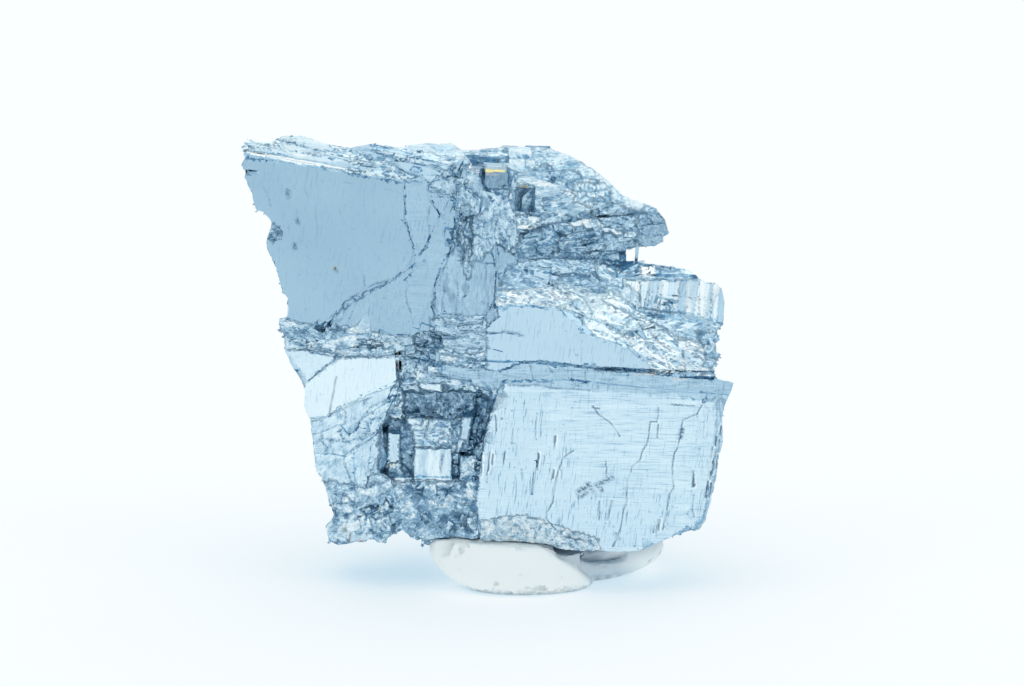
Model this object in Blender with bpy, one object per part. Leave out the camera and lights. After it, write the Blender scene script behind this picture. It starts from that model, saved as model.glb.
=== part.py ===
"""A cleaved hand specimen of stibnite standing on a pressed lump of white putty.

Everything is drawn in millimetres and scaled to metres by MM. X runs along the specimen's long side,
Y from its best face to its back, and Z up from the surface that the putty stands on.
"""

import math
import random

import bmesh
import bpy
from mathutils import Euler, Matrix, Vector
from mathutils.bvhtree import BVHTree

MM = 0.001

# Driving sizes, in millimetres.
SOLE_HEIGHT = 4.0          # the flat break that the crystal rests on
PUTTY_TOP = 3.65           # the putty under that break
CLEARANCE = 0.35           # between the putty's lip and the crystal's face
LIP_TOP = 4.6              # the middle of the lip's top, which slopes down to the right
LIP_SLOPE = 4.0            # how steeply, in degrees
BREAK_PITCH = 1.7          # distance between the corners of a broken edge
REACH = 100.0              # longer than the specimen, for rays and blocks that must clear it

# The specimen's outline at its best face, clockwise from the upper left, in X and Z. Its edges draw
# apart towards the back, as if ruled from OUTLINE_APEX.
OUTLINE_DEPTH = -9.0
OUTLINE_APEX = (2.3, -265.0, 68.4)
OUTLINE = [
    (-22.2, 41.2), (-21.5, 42.1), (-19.5, 41.8), (-18.2, 42.3), (-16.6, 42.3), (-14.1, 41.5), (-12.3, 41.2),
    (-10.3, 41.6), (-8.3, 41.3), (-6.0, 41.9), (-3.3, 41.8), (-2.2, 41.1), (0.1, 41.0), (3.0, 41.3),
    (5.3, 41.2), (7.1, 40.7), (8.9, 39.8), (10.3, 38.8), (11.4, 37.9), (12.5, 36.8), (13.9, 36.3),
    (15.4, 35.6), (16.2, 34.8), (16.6, 33.4), (16.3, 32.6), (15.3, 32.1), (13.9, 31.8), (12.8, 31.8),
    (12.7, 31.0), (13.9, 30.7), (16.9, 30.4), (18.5, 30.0), (19.7, 29.0), (20.8, 28.9), (21.4, 28.3),
    (21.7, 27.0), (21.6, 24.9), (21.1, 24.4), (21.4, 23.5), (20.5, 22.7), (21.4, 22.3), (21.3, 21.7),
    (20.8, 21.1), (21.0, 20.1), (22.6, 19.5), (22.4, 18.8), (21.8, 17.4), (21.6, 16.0), (21.7, 14.1),
    (21.4, 12.7), (21.1, 10.4), (20.7, 8.5), (20.2, 6.6), (19.7, 5.7), (18.3, 5.3), (16.7, 4.7),
    (14.6, 3.7), (12.3, 2.8), (10.4, 3.5), (6.7, 3.8), (5.4, 4.3), (3.0, 4.5), (-0.7, 4.6),
    (-3.3, 5.1), (-4.1, 3.9), (-5.3, 3.2), (-6.0, 4.2), (-6.4, 5.2), (-7.0, 4.8), (-7.8, 5.6),
    (-9.5, 4.7), (-10.8, 4.7), (-12.0, 3.8), (-13.2, 3.8), (-14.7, 4.6), (-15.0, 6.0), (-14.2, 7.2),
    (-14.9, 9.0), (-15.2, 10.4), (-15.8, 11.1), (-16.1, 14.1), (-16.3, 16.0), (-16.8, 17.4),
    (-16.7, 18.8), (-17.1, 19.8), (-18.0, 21.1), (-18.5, 22.6), (-18.6, 23.9), (-19.1, 24.9),
    (-19.0, 25.6), (-18.3, 25.7), (-18.2, 27.5), (-18.7, 28.1), (-19.2, 30.1), (-20.1, 32.1),
    (-20.0, 32.9), (-19.5, 34.3), (-20.1, 35.1), (-20.9, 35.4), (-21.4, 37.3), (-21.9, 38.4),
    (-21.8, 38.9), (-22.2, 39.5), (-21.9, 40.2),
]

# Cleavage slabs. Each is an outline in X and Z, the Y of its outer face and of its buried end,
# and the lean of the outer face in degrees: up, then towards +X.
# "break" is how far the broken edge wanders.
UPPER_SLABS = {
    "mirror_plate": {
        "outline": [(-22.6, 40.9), (-12.4, 38.9), (-6.7, 37.9), (-4.0, 36.6), (-4.0, 24.0), (-19.5, 24.0),
                    (-20.4, 30.0)],
        "face": -9.0, "end": -3.0, "lean": (4.0, 0.0), "break": 0.05},
    "plate_bevel": {
        "outline": [(-22.4, 41.3), (-12.2, 38.95), (-12.2, 38.7), (-22.4, 40.45)],
        "face": -8.2, "end": -6.0, "lean": (44.0, 10.0), "break": 0.0},
    "brow_left": {
        "outline": [(-22.8, 43.0), (-12.0, 42.6), (-12.0, 38.2), (-22.8, 39.6)],
        "face": -8.1, "end": -4.0, "lean": (4.0, -2.6), "break": 0.0},
    "brow_shelf": {
        "outline": [(-22.4, 42.6), (-18.0, 42.4), (-14.0, 41.8), (-13.6, 41.2), (-18.0, 41.5), (-22.0, 41.5)],
        "face": -8.0, "end": -5.0, "lean": (30.0, 4.0), "break": 0.1},
    "brow_chip": {
        "outline": [(-21.9, 41.7), (-19.0, 41.5), (-18.6, 40.9), (-21.6, 41.0)],
        "face": -8.2, "end": -5.0, "lean": (22.0, -6.0), "break": 0.1},
    "brow_right": {
        "outline": [(-13.0, 42.0), (-8.0, 41.2), (-4.6, 40.3), (-2.2, 39.6), (-3.2, 38.2), (-7.0, 37.8),
                    (-12.6, 38.8)],
        "face": -8.45, "end": -4.0, "lean": (7.0, 2.0), "break": 0.15},
    "brow_ledge": {
        "outline": [(-14.6, 41.2), (-11.0, 40.3), (-8.2, 39.8), (-8.6, 39.2), (-11.6, 39.7), (-14.8, 40.5)],
        "face": -8.7, "end": -6.0, "lean": (24.0, 4.0), "break": 0.2},
    "brow_tile": {
        "outline": [(-8.5, 40.0), (-6.0, 39.8), (-3.7, 39.0), (-3.9, 38.3), (-6.7, 38.7), (-8.0, 39.3)],
        "face": -8.85, "end": -5.0, "lean": (2.0, 3.0), "break": 0.08},
    "brow_crest": {
        "outline": [(-10.6, 41.8), (-8.0, 41.4), (-4.6, 40.6), (-2.0, 39.9), (-2.4, 39.3), (-6.0, 40.0),
                    (-10.4, 41.0)],
        "face": -8.3, "end": -4.0, "lean": (32.0, 6.0), "break": 0.2},
    "shell_plate": {
        "outline": [(-7.5, 39.1), (-7.4, 37.3), (-7.4, 35.0), (-7.0, 33.2), (-6.5, 31.8), (-6.5, 30.7),
                    (-8.3, 29.2), (-10.6, 28.0), (-12.9, 26.8), (-14.3, 25.8), (-14.8, 24.3), (-0.6, 24.3),
                    (-0.2, 30.9), (-1.5, 36.4), (-3.8, 38.6)],
        "face": -9.22, "end": -5.0, "lean": (3.2, 0.6), "break": 0.0},
    "fan_plate": {
        "outline": [(-6.3, 30.3), (-3.4, 31.6), (-3.0, 28.0), (-2.6, 24.2), (-13.8, 24.1), (-12.4, 26.4),
                    (-10.4, 27.4), (-8.1, 28.6)],
        "face": -9.6, "end": -5.0, "lean": (5.5, -3.0), "break": 0.08},
    "pillar_left": {
        "outline": [(-5.1, 38.0), (-2.9, 38.6), (-2.0, 36.4), (-2.2, 30.7), (-3.3, 30.0), (-4.6, 28.4),
                    (-5.4, 30.7), (-6.0, 31.4), (-5.3, 32.7), (-4.2, 35.0), (-4.9, 36.4)],
        "face": -9.3, "end": -5.0, "lean": (2.6, 3.5), "break": 0.1},
    "pillar_spine": {
        "outline": [(-2.9, 38.4), (-2.0, 38.5), (-1.5, 34.0), (-1.7, 30.8), (-2.4, 30.6), (-2.7, 34.4)],
        "face": -9.65, "end": -5.0, "lean": (3.0, -8.0), "break": 0.25},
    "pillar_oval": {
        "outline": [(-2.8, 37.3), (-1.5, 37.6), (-0.4, 36.6), (-0.6, 35.2), (-1.9, 34.9), (-2.8, 35.9)],
        "face": -9.85, "end": -5.0, "lean": (5.0, 3.0), "break": 0.0},
    "pillar_middle": {
        "outline": [(-2.2, 39.3), (-0.6, 38.9), (0.5, 36.4), (0.9, 32.8), (1.2, 30.8), (0.9, 27.3),
                    (-0.2, 25.4), (-1.9, 25.4), (-2.0, 30.8), (-1.8, 35.1), (-2.6, 37.3)],
        "face": -9.45, "end": -5.0, "lean": (3.4, -3.0), "break": 0.2},
    "pillar_right": {
        "outline": [(-0.1, 37.3), (1.8, 36.8), (2.8, 35.0), (2.9, 32.3), (2.8, 30.5), (1.8, 30.3),
                    (1.0, 28.2), (0.4, 32.7)],
        "face": -9.15, "end": -4.0, "lean": (3.0, 6.0), "break": 0.2},
    "egg_plate": {
        "outline": [(-4.0, 30.8), (-3.0, 32.0), (-1.6, 33.2), (0.2, 33.0), (0.9, 30.0), (0.7, 27.2),
                    (-0.5, 25.2), (-3.6, 24.8), (-4.8, 26.6), (-4.7, 28.8)],
        "face": -9.88, "end": -6.0, "lean": (3.4, 0.0), "break": 0.04},
    "tarnished_block": {
        "outline": [(-0.2, 39.1), (1.9, 39.0), (2.0, 36.9), (-0.3, 36.6)],
        "face": -7.9, "end": -3.0, "lean": (-2.0, 3.0), "break": 0.0},
    "nose_wall": {
        "outline": [(1.0, 38.6), (4.0, 38.2), (6.4, 37.4), (9.6, 36.0), (10.6, 33.4), (10.4, 30.2),
                    (2.6, 29.6), (1.6, 33.0)],
        "face": -5.6, "end": 1.0, "lean": (14.0, 10.0), "break": 0.3},
}

MIDDLE_SLABS = {
    "middle_plate": {
        "outline": [(-4.6, 24.3), (-1.8, 25.2), (-0.4, 26.4), (0.4, 28.2), (2.9, 27.8), (5.2, 27.0),
                    (6.6, 26.5), (7.6, 25.4), (9.0, 24.2), (12.2, 23.1), (16.4, 22.2), (17.0, 19.0),
                    (3.5, 19.6), (0.0, 20.0), (-4.8, 20.6)],
        "face": -9.6, "end": -4.0, "lean": (1.2, -0.5), "break": 0.04},
    "sill_plate": {
        "outline": [(-8.0, 22.8), (-4.0, 23.6), (1.0, 22.6), (1.6, 20.4), (0.0, 19.3), (-4.0, 19.5),
                    (-7.9, 19.6)],
        "face": -9.35, "end": -4.0, "lean": (6.0, -4.0), "break": 0.3},
    "upper_slope": {
        "outline": [(0.6, 26.4), (1.2, 30.9), (5.0, 31.4), (8.6, 31.0), (10.6, 30.2), (11.2, 27.6),
                    (6.7, 26.6), (3.4, 26.6)],
        "face": -8.75, "end": 0.0, "lean": (22.0, 4.0), "break": 0.2},
    "bright_slope": {
        "outline": [(2.6, 29.4), (6.7, 30.6), (10.6, 28.6), (14.9, 25.6), (19.0, 23.4), (22.4, 21.2),
                    (22.4, 19.6), (16.2, 20.8), (12.2, 22.6), (9.0, 23.7), (6.8, 26.0), (3.0, 27.2)],
        "face": -8.3, "end": 0.0, "lean": (31.0, 14.0), "break": 0.1},
    "slope_step": {
        "outline": [(4.4, 27.6), (7.8, 28.6), (11.4, 27.0), (14.6, 25.0), (12.6, 24.0), (9.4, 25.4),
                    (7.2, 26.4)],
        "face": -8.3, "end": -4.0, "lean": (36.0, 12.0), "break": 0.2},
    "slope_toe": {
        "outline": [(12.8, 23.3), (16.0, 24.2), (19.6, 22.4), (22.2, 20.8), (22.0, 20.3), (16.6, 20.4),
                    (14.4, 21.8)],
        "face": -9.3, "end": -4.0, "lean": (24.0, 12.0), "break": 0.15},
    "grey_slope": {
        "outline": [(10.2, 29.4), (12.6, 28.2), (14.0, 25.7), (18.7, 24.9), (22.6, 24.2), (22.6, 21.4),
                    (19.6, 21.2), (15.9, 23.6), (12.2, 26.2)],
        "face": -7.35, "end": 0.0, "lean": (24.0, 7.0), "break": 0.2},
    "rib_block": {
        "outline": [(10.4, 28.6), (12.8, 28.7), (14.2, 28.9), (19.7, 28.6), (22.4, 28.0), (22.6, 23.4),
                    (19.8, 23.6), (14.2, 24.6), (10.9, 25.6)],
        "face": -4.9, "end": 3.0, "lean": (1.0, 2.0), "break": 0.1},
    "gap_wall": {
        "outline": [(9.4, 31.8), (12.2, 31.6), (12.4, 30.4), (12.1, 28.2), (9.6, 28.2)],
        "face": -3.4, "end": 3.0, "lean": (6.0, 4.0), "break": 0.1},
    "rib_cap": {
        "outline": [(11.6, 30.9), (14.2, 31.2), (18.2, 30.8), (21.0, 29.6), (21.4, 28.2), (12.0, 28.4)],
        "face": -3.4, "end": 1.0, "lean": (50.0, 3.0), "break": 0.1},
    "seam_upper": {
        "outline": [(-20.0, 25.4), (-15.0, 25.0), (-10.6, 24.9), (-4.0, 25.0), (-4.2, 23.9), (-11.0, 23.7),
                    (-20.0, 23.9)],
        "face": -9.65, "end": -5.0, "lean": (16.0, 0.0), "break": 0.3},
    "seam_lower": {
        "outline": [(-20.0, 24.1), (-10.0, 24.0), (-4.4, 24.0), (-4.6, 22.5), (-10.0, 22.3), (-14.0, 22.7),
                    (-20.0, 22.4)],
        "face": -9.4, "end": -5.0, "lean": (-14.0, 0.0), "break": 0.3},
}

LOWER_SLABS = {
    "corner_upper": {
        "outline": [(-20.0, 23.0), (-13.4, 22.8), (-13.6, 21.6), (-14.8, 20.7), (-16.5, 19.4), (-18.8, 20.0)],
        "face": -8.7, "end": -3.0, "lean": (4.0, -13.0), "break": 0.05},
    "corner_face": {
        "outline": [(-13.4, 22.8), (-8.3, 22.8), (-8.1, 20.0), (-9.3, 19.3), (-11.2, 18.4), (-13.0, 17.5),
                    (-14.6, 16.5), (-15.5, 16.0), (-17.6, 15.8), (-18.0, 19.4), (-16.5, 19.8),
                    (-14.8, 20.9), (-13.9, 21.6)],
        "face": -9.2, "end": -3.0, "lean": (-1.0, -9.0), "break": 0.05},
    "corner_ledge": {
        "outline": [(-8.1, 19.9), (-9.1, 17.8), (-10.6, 16.6), (-11.7, 15.7), (-12.2, 14.8), (-12.8, 14.2),
                    (-13.7, 15.4), (-14.4, 14.9), (-17.4, 13.9), (-17.4, 16.2), (-15.5, 16.4),
                    (-13.0, 17.8), (-11.2, 18.7)],
        "face": -8.9, "end": -3.0, "lean": (-8.0, -12.0), "break": 0.12},
    "corner_shell": {
        "outline": [(-8.4, 18.3), (-9.4, 15.8), (-10.2, 14.4), (-12.6, 12.6), (-13.2, 11.6), (-17.0, 12.3),
                    (-17.0, 14.5), (-14.4, 16.0), (-12.4, 16.4), (-10.6, 17.2)],
        "face": -8.6, "end": -3.0, "lean": (5.0, -13.0), "break": 0.12},
    "corner_foot": {
        "outline": [(-9.9, 15.2), (-10.6, 13.6), (-11.0, 10.3), (-11.7, 8.0), (-16.0, 7.8), (-16.6, 12.8),
                    (-13.1, 12.7), (-12.4, 13.5)],
        "face": -8.85, "end": -3.0, "lean": (-2.0, -10.0), "break": 0.2},
    "heel": {
        "outline": [(-16.0, 9.6), (-8.0, 10.4), (-0.4, 10.0), (-0.4, 3.4), (-5.0, 3.0), (-8.0, 5.0),
                    (-15.8, 3.2)],
        "face": -8.2, "end": 0.0, "lean": (3.0, -4.0), "break": 0.25},
    "big_face": {
        "outline": [(1.3, 19.9), (7.0, 20.1), (14.0, 19.4), (23.0, 18.6), (23.0, 5.0), (16.4, 4.6),
                    (12.6, 2.6), (10.2, 3.7), (6.3, 4.2), (2.3, 4.8), (-0.6, 5.0), (-1.1, 8.8),
                    (-0.7, 11.7), (-0.3, 14.6), (0.3, 17.0)],
        "face": -10.6, "end": -2.0, "lean": (-0.6, 0.6), "break": 0.0},
    "big_face_brow": {
        "outline": [(-5.0, 21.3), (-2.0, 21.7), (3.5, 21.6), (9.0, 21.2), (14.0, 20.7), (18.5, 20.2),
                    (23.2, 19.8), (23.0, 17.8), (15.8, 18.2), (9.4, 18.8), (2.1, 19.2), (0.6, 18.6),
                    (0.1, 20.0), (-4.6, 20.6)],
        "face": -10.33, "end": -3.0, "lean": (4.5, 0.5), "break": 0.04},
    "big_face_flank": {
        "outline": [(20.0, 18.9), (23.0, 18.6), (22.6, 14.0), (22.0, 9.6), (20.6, 4.6), (18.9, 5.4),
                    (19.7, 10.0), (20.3, 15.0)],
        "face": -10.62, "end": -3.0, "lean": (0.0, 14.0), "break": 0.1},
    "pocket_back": {
        "outline": [(-9.4, 20.6), (0.9, 20.4), (0.6, 5.0), (-9.2, 5.0)],
        "face": -6.7, "end": 0.0, "lean": (-2.0, 3.0), "break": 0.1},
    "pocket_rim": {
        "outline": [(-7.9, 21.6), (-7.7, 19.2), (-8.4, 16.9), (-9.5, 15.4), (-9.7, 11.5), (-8.9, 10.4),
                    (-8.6, 8.6), (-12.4, 7.6), (-12.4, 13.0), (-10.8, 16.0), (-9.6, 18.6)],
        "face": -8.55, "end": -3.0, "lean": (2.0, 16.0), "break": 0.2},
    "pocket_tile": {
        "outline": [(-7.5, 16.5), (-6.1, 16.6), (-6.1, 15.4), (-7.6, 15.3)],
        "face": -8.1, "end": -5.0, "lean": (4.0, 2.0), "break": 0.04},
    "pocket_shelf": {
        "outline": [(-8.0, 16.1), (-2.0, 15.9), (-2.2, 13.2), (-3.4, 12.4), (-8.0, 12.6)],
        "face": -7.45, "end": -5.0, "lean": (14.0, 4.0), "break": 0.1},
    "pocket_window": {
        "outline": [(-6.9, 13.1), (-3.2, 13.2), (-3.1, 9.8), (-6.9, 9.6)],
        "face": -7.95, "end": -5.0, "lean": (-3.0, -3.0), "break": 0.03},
    "pocket_post": {
        "outline": [(-9.2, 14.7), (-7.9, 14.7), (-8.0, 11.7), (-9.3, 11.7)],
        "face": -8.2, "end": -5.0, "lean": (-2.0, -8.0), "break": 0.03},
    "pocket_bar": {
        "outline": [(-2.4, 16.3), (-1.1, 16.3), (-1.8, 12.8), (-2.9, 12.8)],
        "face": -8.4, "end": -5.0, "lean": (0.0, -8.0), "break": 0.05},
    "pocket_side": {
        "outline": [(-2.6, 12.6), (-0.9, 12.4), (-1.0, 9.0), (-2.7, 9.2)],
        "face": -7.6, "end": -5.0, "lean": (0.0, 10.0), "break": 0.1},
    "pocket_foot": {
        "outline": [(-8.4, 10.1), (-3.6, 9.8), (-0.8, 10.4), (-0.6, 5.0), (-8.6, 4.6)],
        "face": -8.75, "end": -4.0, "lean": (20.0, 2.0), "break": 0.3},
}

BODY_SLABS = {
    "core": {
        "outline": [(-18.6, 37.0), (-8.0, 38.6), (2.0, 39.0), (8.4, 36.6), (10.2, 33.0), (10.4, 28.0),
                    (21.0, 26.6), (21.0, 14.0), (19.0, 7.0), (14.6, SOLE_HEIGHT), (-3.6, SOLE_HEIGHT),
                    (-7.0, 5.8), (-12.4, 5.8), (-13.8, 10.0), (-15.4, 16.0), (-17.0, 22.0), (-17.6, 28.0)],
        "face": -5.35, "end": 4.0, "lean": (0.0, 0.0), "break": 0.0},
    "back_plate": {
        "outline": [(-11.6, 34.0), (-2.0, 36.0), (7.4, 33.6), (8.0, 20.0), (6.2, 9.4), (-7.0, 9.0),
                    (-11.0, 16.0)],
        "face": 10.9, "end": 2.0, "lean": (-3.0, 6.0), "break": 0.3},
    "back_lower_plate": {
        "outline": [(1.0, 23.6), (16.0, 21.4), (16.4, 12.0), (13.6, 6.6), (1.6, 6.2), (-1.0, 14.0)],
        "face": 11.7, "end": 2.0, "lean": (4.0, -10.0), "break": 0.3},
    "back_crest": {
        "outline": [(-8.6, 41.4), (-3.4, 41.2), (0.4, 41.2), (3.6, 41.6), (7.4, 40.8), (10.4, 38.6),
                    (12.4, 36.4), (12.6, 31.4), (6.0, 27.0), (-6.4, 28.6)],
        "face": 9.2, "end": 1.0, "lean": (12.0, -6.0), "break": 0.25},
    "back_wing": {
        "outline": [(-19.4, 36.6), (-9.4, 38.0), (-6.0, 32.0), (-7.4, 18.0), (-10.6, 12.0), (-14.0, 15.0),
                    (-16.8, 24.0)],
        "face": 6.6, "end": -4.0, "lean": (2.0, 14.0), "break": 0.3},
    "back_step": {
        "outline": [(9.0, 27.0), (19.4, 25.0), (19.6, 15.0), (17.2, 9.4), (9.6, 9.2), (8.0, 18.0)],
        "face": 8.2, "end": 0.0, "lean": (-6.0, -16.0), "break": 0.3},
    "back_foot": {
        "outline": [(-10.4, 14.0), (-2.0, 13.0), (3.0, 9.0), (4.0, SOLE_HEIGHT), (-3.2, SOLE_HEIGHT),
                    (-8.8, 7.4)],
        "face": 8.6, "end": 0.0, "lean": (14.0, 5.0), "break": 0.3},
}

# The nose: sheets lying on each other, each with its own reach to the right and its own front.
NOSE_SHEETS = 9
NOSE_OVERLAP = 1.3         # a sheet's thickness, as a share of the distance between two sheets
NOSE_SEED = 7
NOSE_BOTTOM, NOSE_TOP = 31.3, 40.2
NOSE_REACH = [(30.6, 13.6), (31.6, 16.4), (32.6, 17.4), (33.9, 17.2), (34.8, 16.4),
              (35.6, 15.0), (37.0, 12.8), (38.4, 10.8), (40.2, 7.6)]      # height, then X of the right end

# Posts that bridge the gap under the nose: X, Y, width and lean in degrees.
NOSE_POSTS = [(14.0, -1.6, 0.42, 4), (12.6, -1.0, 0.8, -3)]
NOSE_POST_SPAN = (29.6, 32.4)

# Planes that a break has followed: a point on each, and the way the lost piece lay.
TRIM_PLANES = {
    "left_flank": ((-21.9, -5.0, 30.0), (-0.93, 0.36, -0.05)),
    "left_back": ((-14.5, 6.6, 24.0), (-0.55, 0.83, 0.05)),
    "lower_left_back": ((-10.4, 7.5, 10.0), (-0.45, 0.78, -0.42)),
    "right_flank": ((21.6, -1.0, 15.0), (0.95, 0.3, 0.02)),
    "right_back": ((16.0, 8.6, 20.0), (0.62, 0.78, 0.06)),
    "crown_back": ((0.0, 8.6, 38.6), (0.0, 0.62, 0.78)),
    "wing_top": ((-14.0, 1.6, 39.4), (-0.2, 0.45, 0.87)),
    "nose_back": ((14.0, 5.6, 33.0), (0.3, 0.95, 0.05)),
    "heel": ((0.0, 9.0, 6.4), (0.0, 0.55, -0.83)),
}

# Grooves, slots and pits, each a block: centre, size and turn in degrees.
CUTS = {
    "brow_gap": ((15.6, -10.0, 20.75), (11.6, 2.6, 0.34), (0, 3, 0)),
    "face_slit": ((4.3, -10.6, 11.0), (0.24, 1.0, 3.3), (0, 6, 0)),
    "seam_slot": ((-5.4, -9.6, 23.4), (2.2, 1.6, 1.0), (0, 8, 10)),
    "seam_notch": ((-14.9, -9.5, 24.9), (1.3, 1.2, 0.9), (10, 20, 0)),
    "nose_void": ((3.5, -6.0, 36.0), (1.7, 3.4, 2.1), (0, 4, 8)),
    "nose_slot": ((8.6, -4.6, 34.4), (3.6, 2.2, 0.5), (0, -9, 6)),
    "post_notch": ((-8.9, -8.0, 11.2), (1.7, 1.8, 0.7), (0, 12, 0)),
    "left_notch": ((-21.2, -8.0, 38.9), (1.2, 4.0, 0.34), (0, 4, 0)),
}

# Zones covered in small blocky crystals: the side they are seated from, two spans across that side,
# how many, their size range, their proportions, and how far they turn from the cleavage in degrees.
CRUMB_ZONES = {
    "seam": ("front", (-17.6, -4.2), (22.7, 24.9), 22, (0.6, 1.1), (1.3, 1.0, 0.8), 24),
    "sill": ("front", (-8.0, 1.0), (19.6, 22.8), 13, (0.6, 1.2), (1.4, 1.0, 0.7), 16),
    "pocket": ("front", (-8.2, -0.8), (9.6, 17.8), 9, (0.5, 1.0), (0.9, 1.0, 1.1), 14),
    "heel": ("front", (-13.6, -0.8), (4.8, 9.6), 30, (0.7, 1.4), (0.9, 1.0, 1.1), 32),
    "column": ("front", (-3.6, 2.8), (31.4, 38.4), 17, (0.6, 1.1), (0.7, 0.9, 1.3), 24),
    "brow": ("front", (-12.0, -3.0), (38.8, 41.0), 7, (0.5, 1.1), (1.6, 1.0, 0.6), 14),
    "slope_head": ("front", (4.0, 11.0), (28.2, 30.4), 8, (0.8, 1.6), (1.7, 1.0, 0.5), 20),
    "slope_foot": ("front", (12.4, 19.0), (24.4, 26.4), 6, (0.8, 1.6), (1.7, 1.0, 0.5), 20),
    "teeth": ("front", (17.6, 21.0), (20.8, 24.4), 7, (0.7, 1.3), (0.9, 1.0, 1.1), 24),
    "nose": ("front", (3.6, 11.6), (31.2, 36.4), 14, (0.8, 1.6), (1.6, 1.0, 0.6), 18),
    "nose_tip": ("front", (11.4, 14.8), (31.4, 34.4), 4, (0.7, 1.3), (1.6, 1.0, 0.6), 18),
    "crown": ("top", (-3.0, 5.0), (-1.0, 5.0), 4, (1.0, 1.8), (1.6, 1.2, 0.35), 8),
    "back": ("back", (-13.0, 15.0), (9.0, 36.0), 9, (1.4, 3.2), (1.0, 0.8, 1.4), 18),
}
SEAT_DEPTH = 0.22          # how deep a crumb's centre sinks, as a share of its size

PUTTY_LOBES = {
    "front_lobe": ((2.4, -7.8, 2.9), (8.1, 4.6, 4.2), (0.0, 12.0, 4.0)),
    "right_lobe": ((9.0, -2.0, 2.1), (7.8, 6.8, 2.7), (0.0, -4.0, 0.0)),
    "back_lobe": ((2.6, 1.8, 2.0), (7.6, 6.8, 2.6), (0.0, 0.0, 20.0)),
}


def clear_scene():
    """Removes every object that the startup file holds."""
    for obj in list(bpy.data.objects):
        bpy.data.objects.remove(obj, do_unlink=True)


def collection_of(name, helper):
    """A collection of the scene; a helper collection holds what is joined or cut away."""
    made = bpy.data.collections.new(name)
    bpy.context.scene.collection.children.link(made)
    made.hide_render = helper
    return made


def add_mesh_object(name, mesh, collection):
    """A mesh object, marked as a helper if its collection is one."""
    obj = bpy.data.objects.new(name, mesh)
    collection.objects.link(obj)
    if collection.hide_render:
        obj.hide_render = True
        obj.display_type = "WIRE"
    return obj


def add_bmesh_object(name, form, collection):
    """The same, from a bmesh that is no longer needed."""
    bmesh.ops.recalc_face_normals(form, faces=form.faces)
    mesh = bpy.data.meshes.new(name)
    form.to_mesh(mesh)
    form.free()
    return add_mesh_object(name, mesh, collection)


def turned(angles):
    """A rotation from three angles in degrees."""
    return Euler([math.radians(angle) for angle in angles])


def broken_outline(corners, wander, rng):
    """The outline's corners, with the edges between them broken into short runs that wander."""
    points = []
    for (x0, z0), (x1, z1) in zip(corners, corners[1:] + corners[:1]):
        length = math.hypot(x1 - x0, z1 - z0)
        runs = max(1, round(length / BREAK_PITCH)) if wander else 1
        points.append((x0, z0))
        for i in range(1, runs):
            share = (i + rng.uniform(-0.3, 0.3)) / runs
            off = rng.uniform(-wander, wander)
            points.append((x0 + (x1 - x0) * share - (z1 - z0) / length * off,
                           z0 + (z1 - z0) * share + (x1 - x0) / length * off))
    return points


def prism_mesh(name, points, thickness):
    """A flat outline made thick: a filled 2D curve, extruded, then turned into one closed mesh."""
    curve = bpy.data.curves.new(name, "CURVE")
    curve.dimensions = "2D"
    curve.fill_mode = "BOTH"
    curve.extrude = thickness / 2 * MM
    spline = curve.splines.new("POLY")
    spline.points.add(len(points) - 1)
    for point, (x, y) in zip(spline.points, points):
        point.co = (x * MM, y * MM, 0, 1)
    spline.use_cyclic_u = True
    guide = bpy.data.objects.new(name + "_outline", curve)
    bpy.context.scene.collection.objects.link(guide)
    graph = bpy.context.evaluated_depsgraph_get()
    mesh = bpy.data.meshes.new_from_object(guide.evaluated_get(graph))
    bpy.data.objects.remove(guide)
    form = bmesh.new()
    form.from_mesh(mesh)
    bmesh.ops.remove_doubles(form, verts=form.verts, dist=0.001 * MM)
    bmesh.ops.recalc_face_normals(form, faces=form.faces)
    form.to_mesh(mesh)
    form.free()
    return mesh


def add_slab(name, slab, collection, rng):
    """A cleavage slab: its outer face has the outline, the depth and the lean that the table gives."""
    centre_x = sum(x for x, _ in slab["outline"]) / len(slab["outline"])
    centre_z = sum(z for _, z in slab["outline"]) / len(slab["outline"])
    corners = [(x - centre_x, z - centre_z) for x, z in slab["outline"]]
    thickness = abs(slab["end"] - slab["face"])
    outward = 1 if slab["face"] < slab["end"] else -1
    lean_up, lean_right = slab["lean"]
    turn = turned((90 - outward * lean_up, 0, outward * lean_right)).to_matrix().to_4x4()
    face_centre = Vector((centre_x, slab["face"], centre_z))
    middle = face_centre - turn @ Vector((0, 0, outward * thickness / 2))
    mesh = prism_mesh(name, broken_outline(corners, slab["break"], rng), thickness)
    mesh.transform(Matrix.Translation(middle * MM) @ turn)
    return add_mesh_object(name, mesh, collection)


def add_block(name, centre, size, turn, collection):
    """A block of the given size and turn."""
    form = bmesh.new()
    place = Matrix.LocRotScale(Vector(centre) * MM, turn, Vector(size) * MM)
    bmesh.ops.create_cube(form, size=1.0, matrix=place)
    return add_bmesh_object(name, form, collection)


def add_outline_trim(collection):
    """The outline carried from front to back along lines from the apex, as one tapering block."""
    form = bmesh.new()
    apex = Vector(OUTLINE_APEX)
    rings = []
    for depth in (-16.0, 16.0):
        stretch = (depth - apex.y) / (OUTLINE_DEPTH - apex.y)
        ring = [apex + (Vector((x, OUTLINE_DEPTH, z)) - apex) * stretch for x, z in OUTLINE]
        rings.append([form.verts.new(point * MM) for point in ring])
    for ring in rings:
        form.faces.new(ring)
    for i in range(len(OUTLINE)):
        form.faces.new((rings[0][i - 1], rings[0][i], rings[1][i], rings[1][i - 1]))
    return add_bmesh_object("outline_trim", form, collection)


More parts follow.
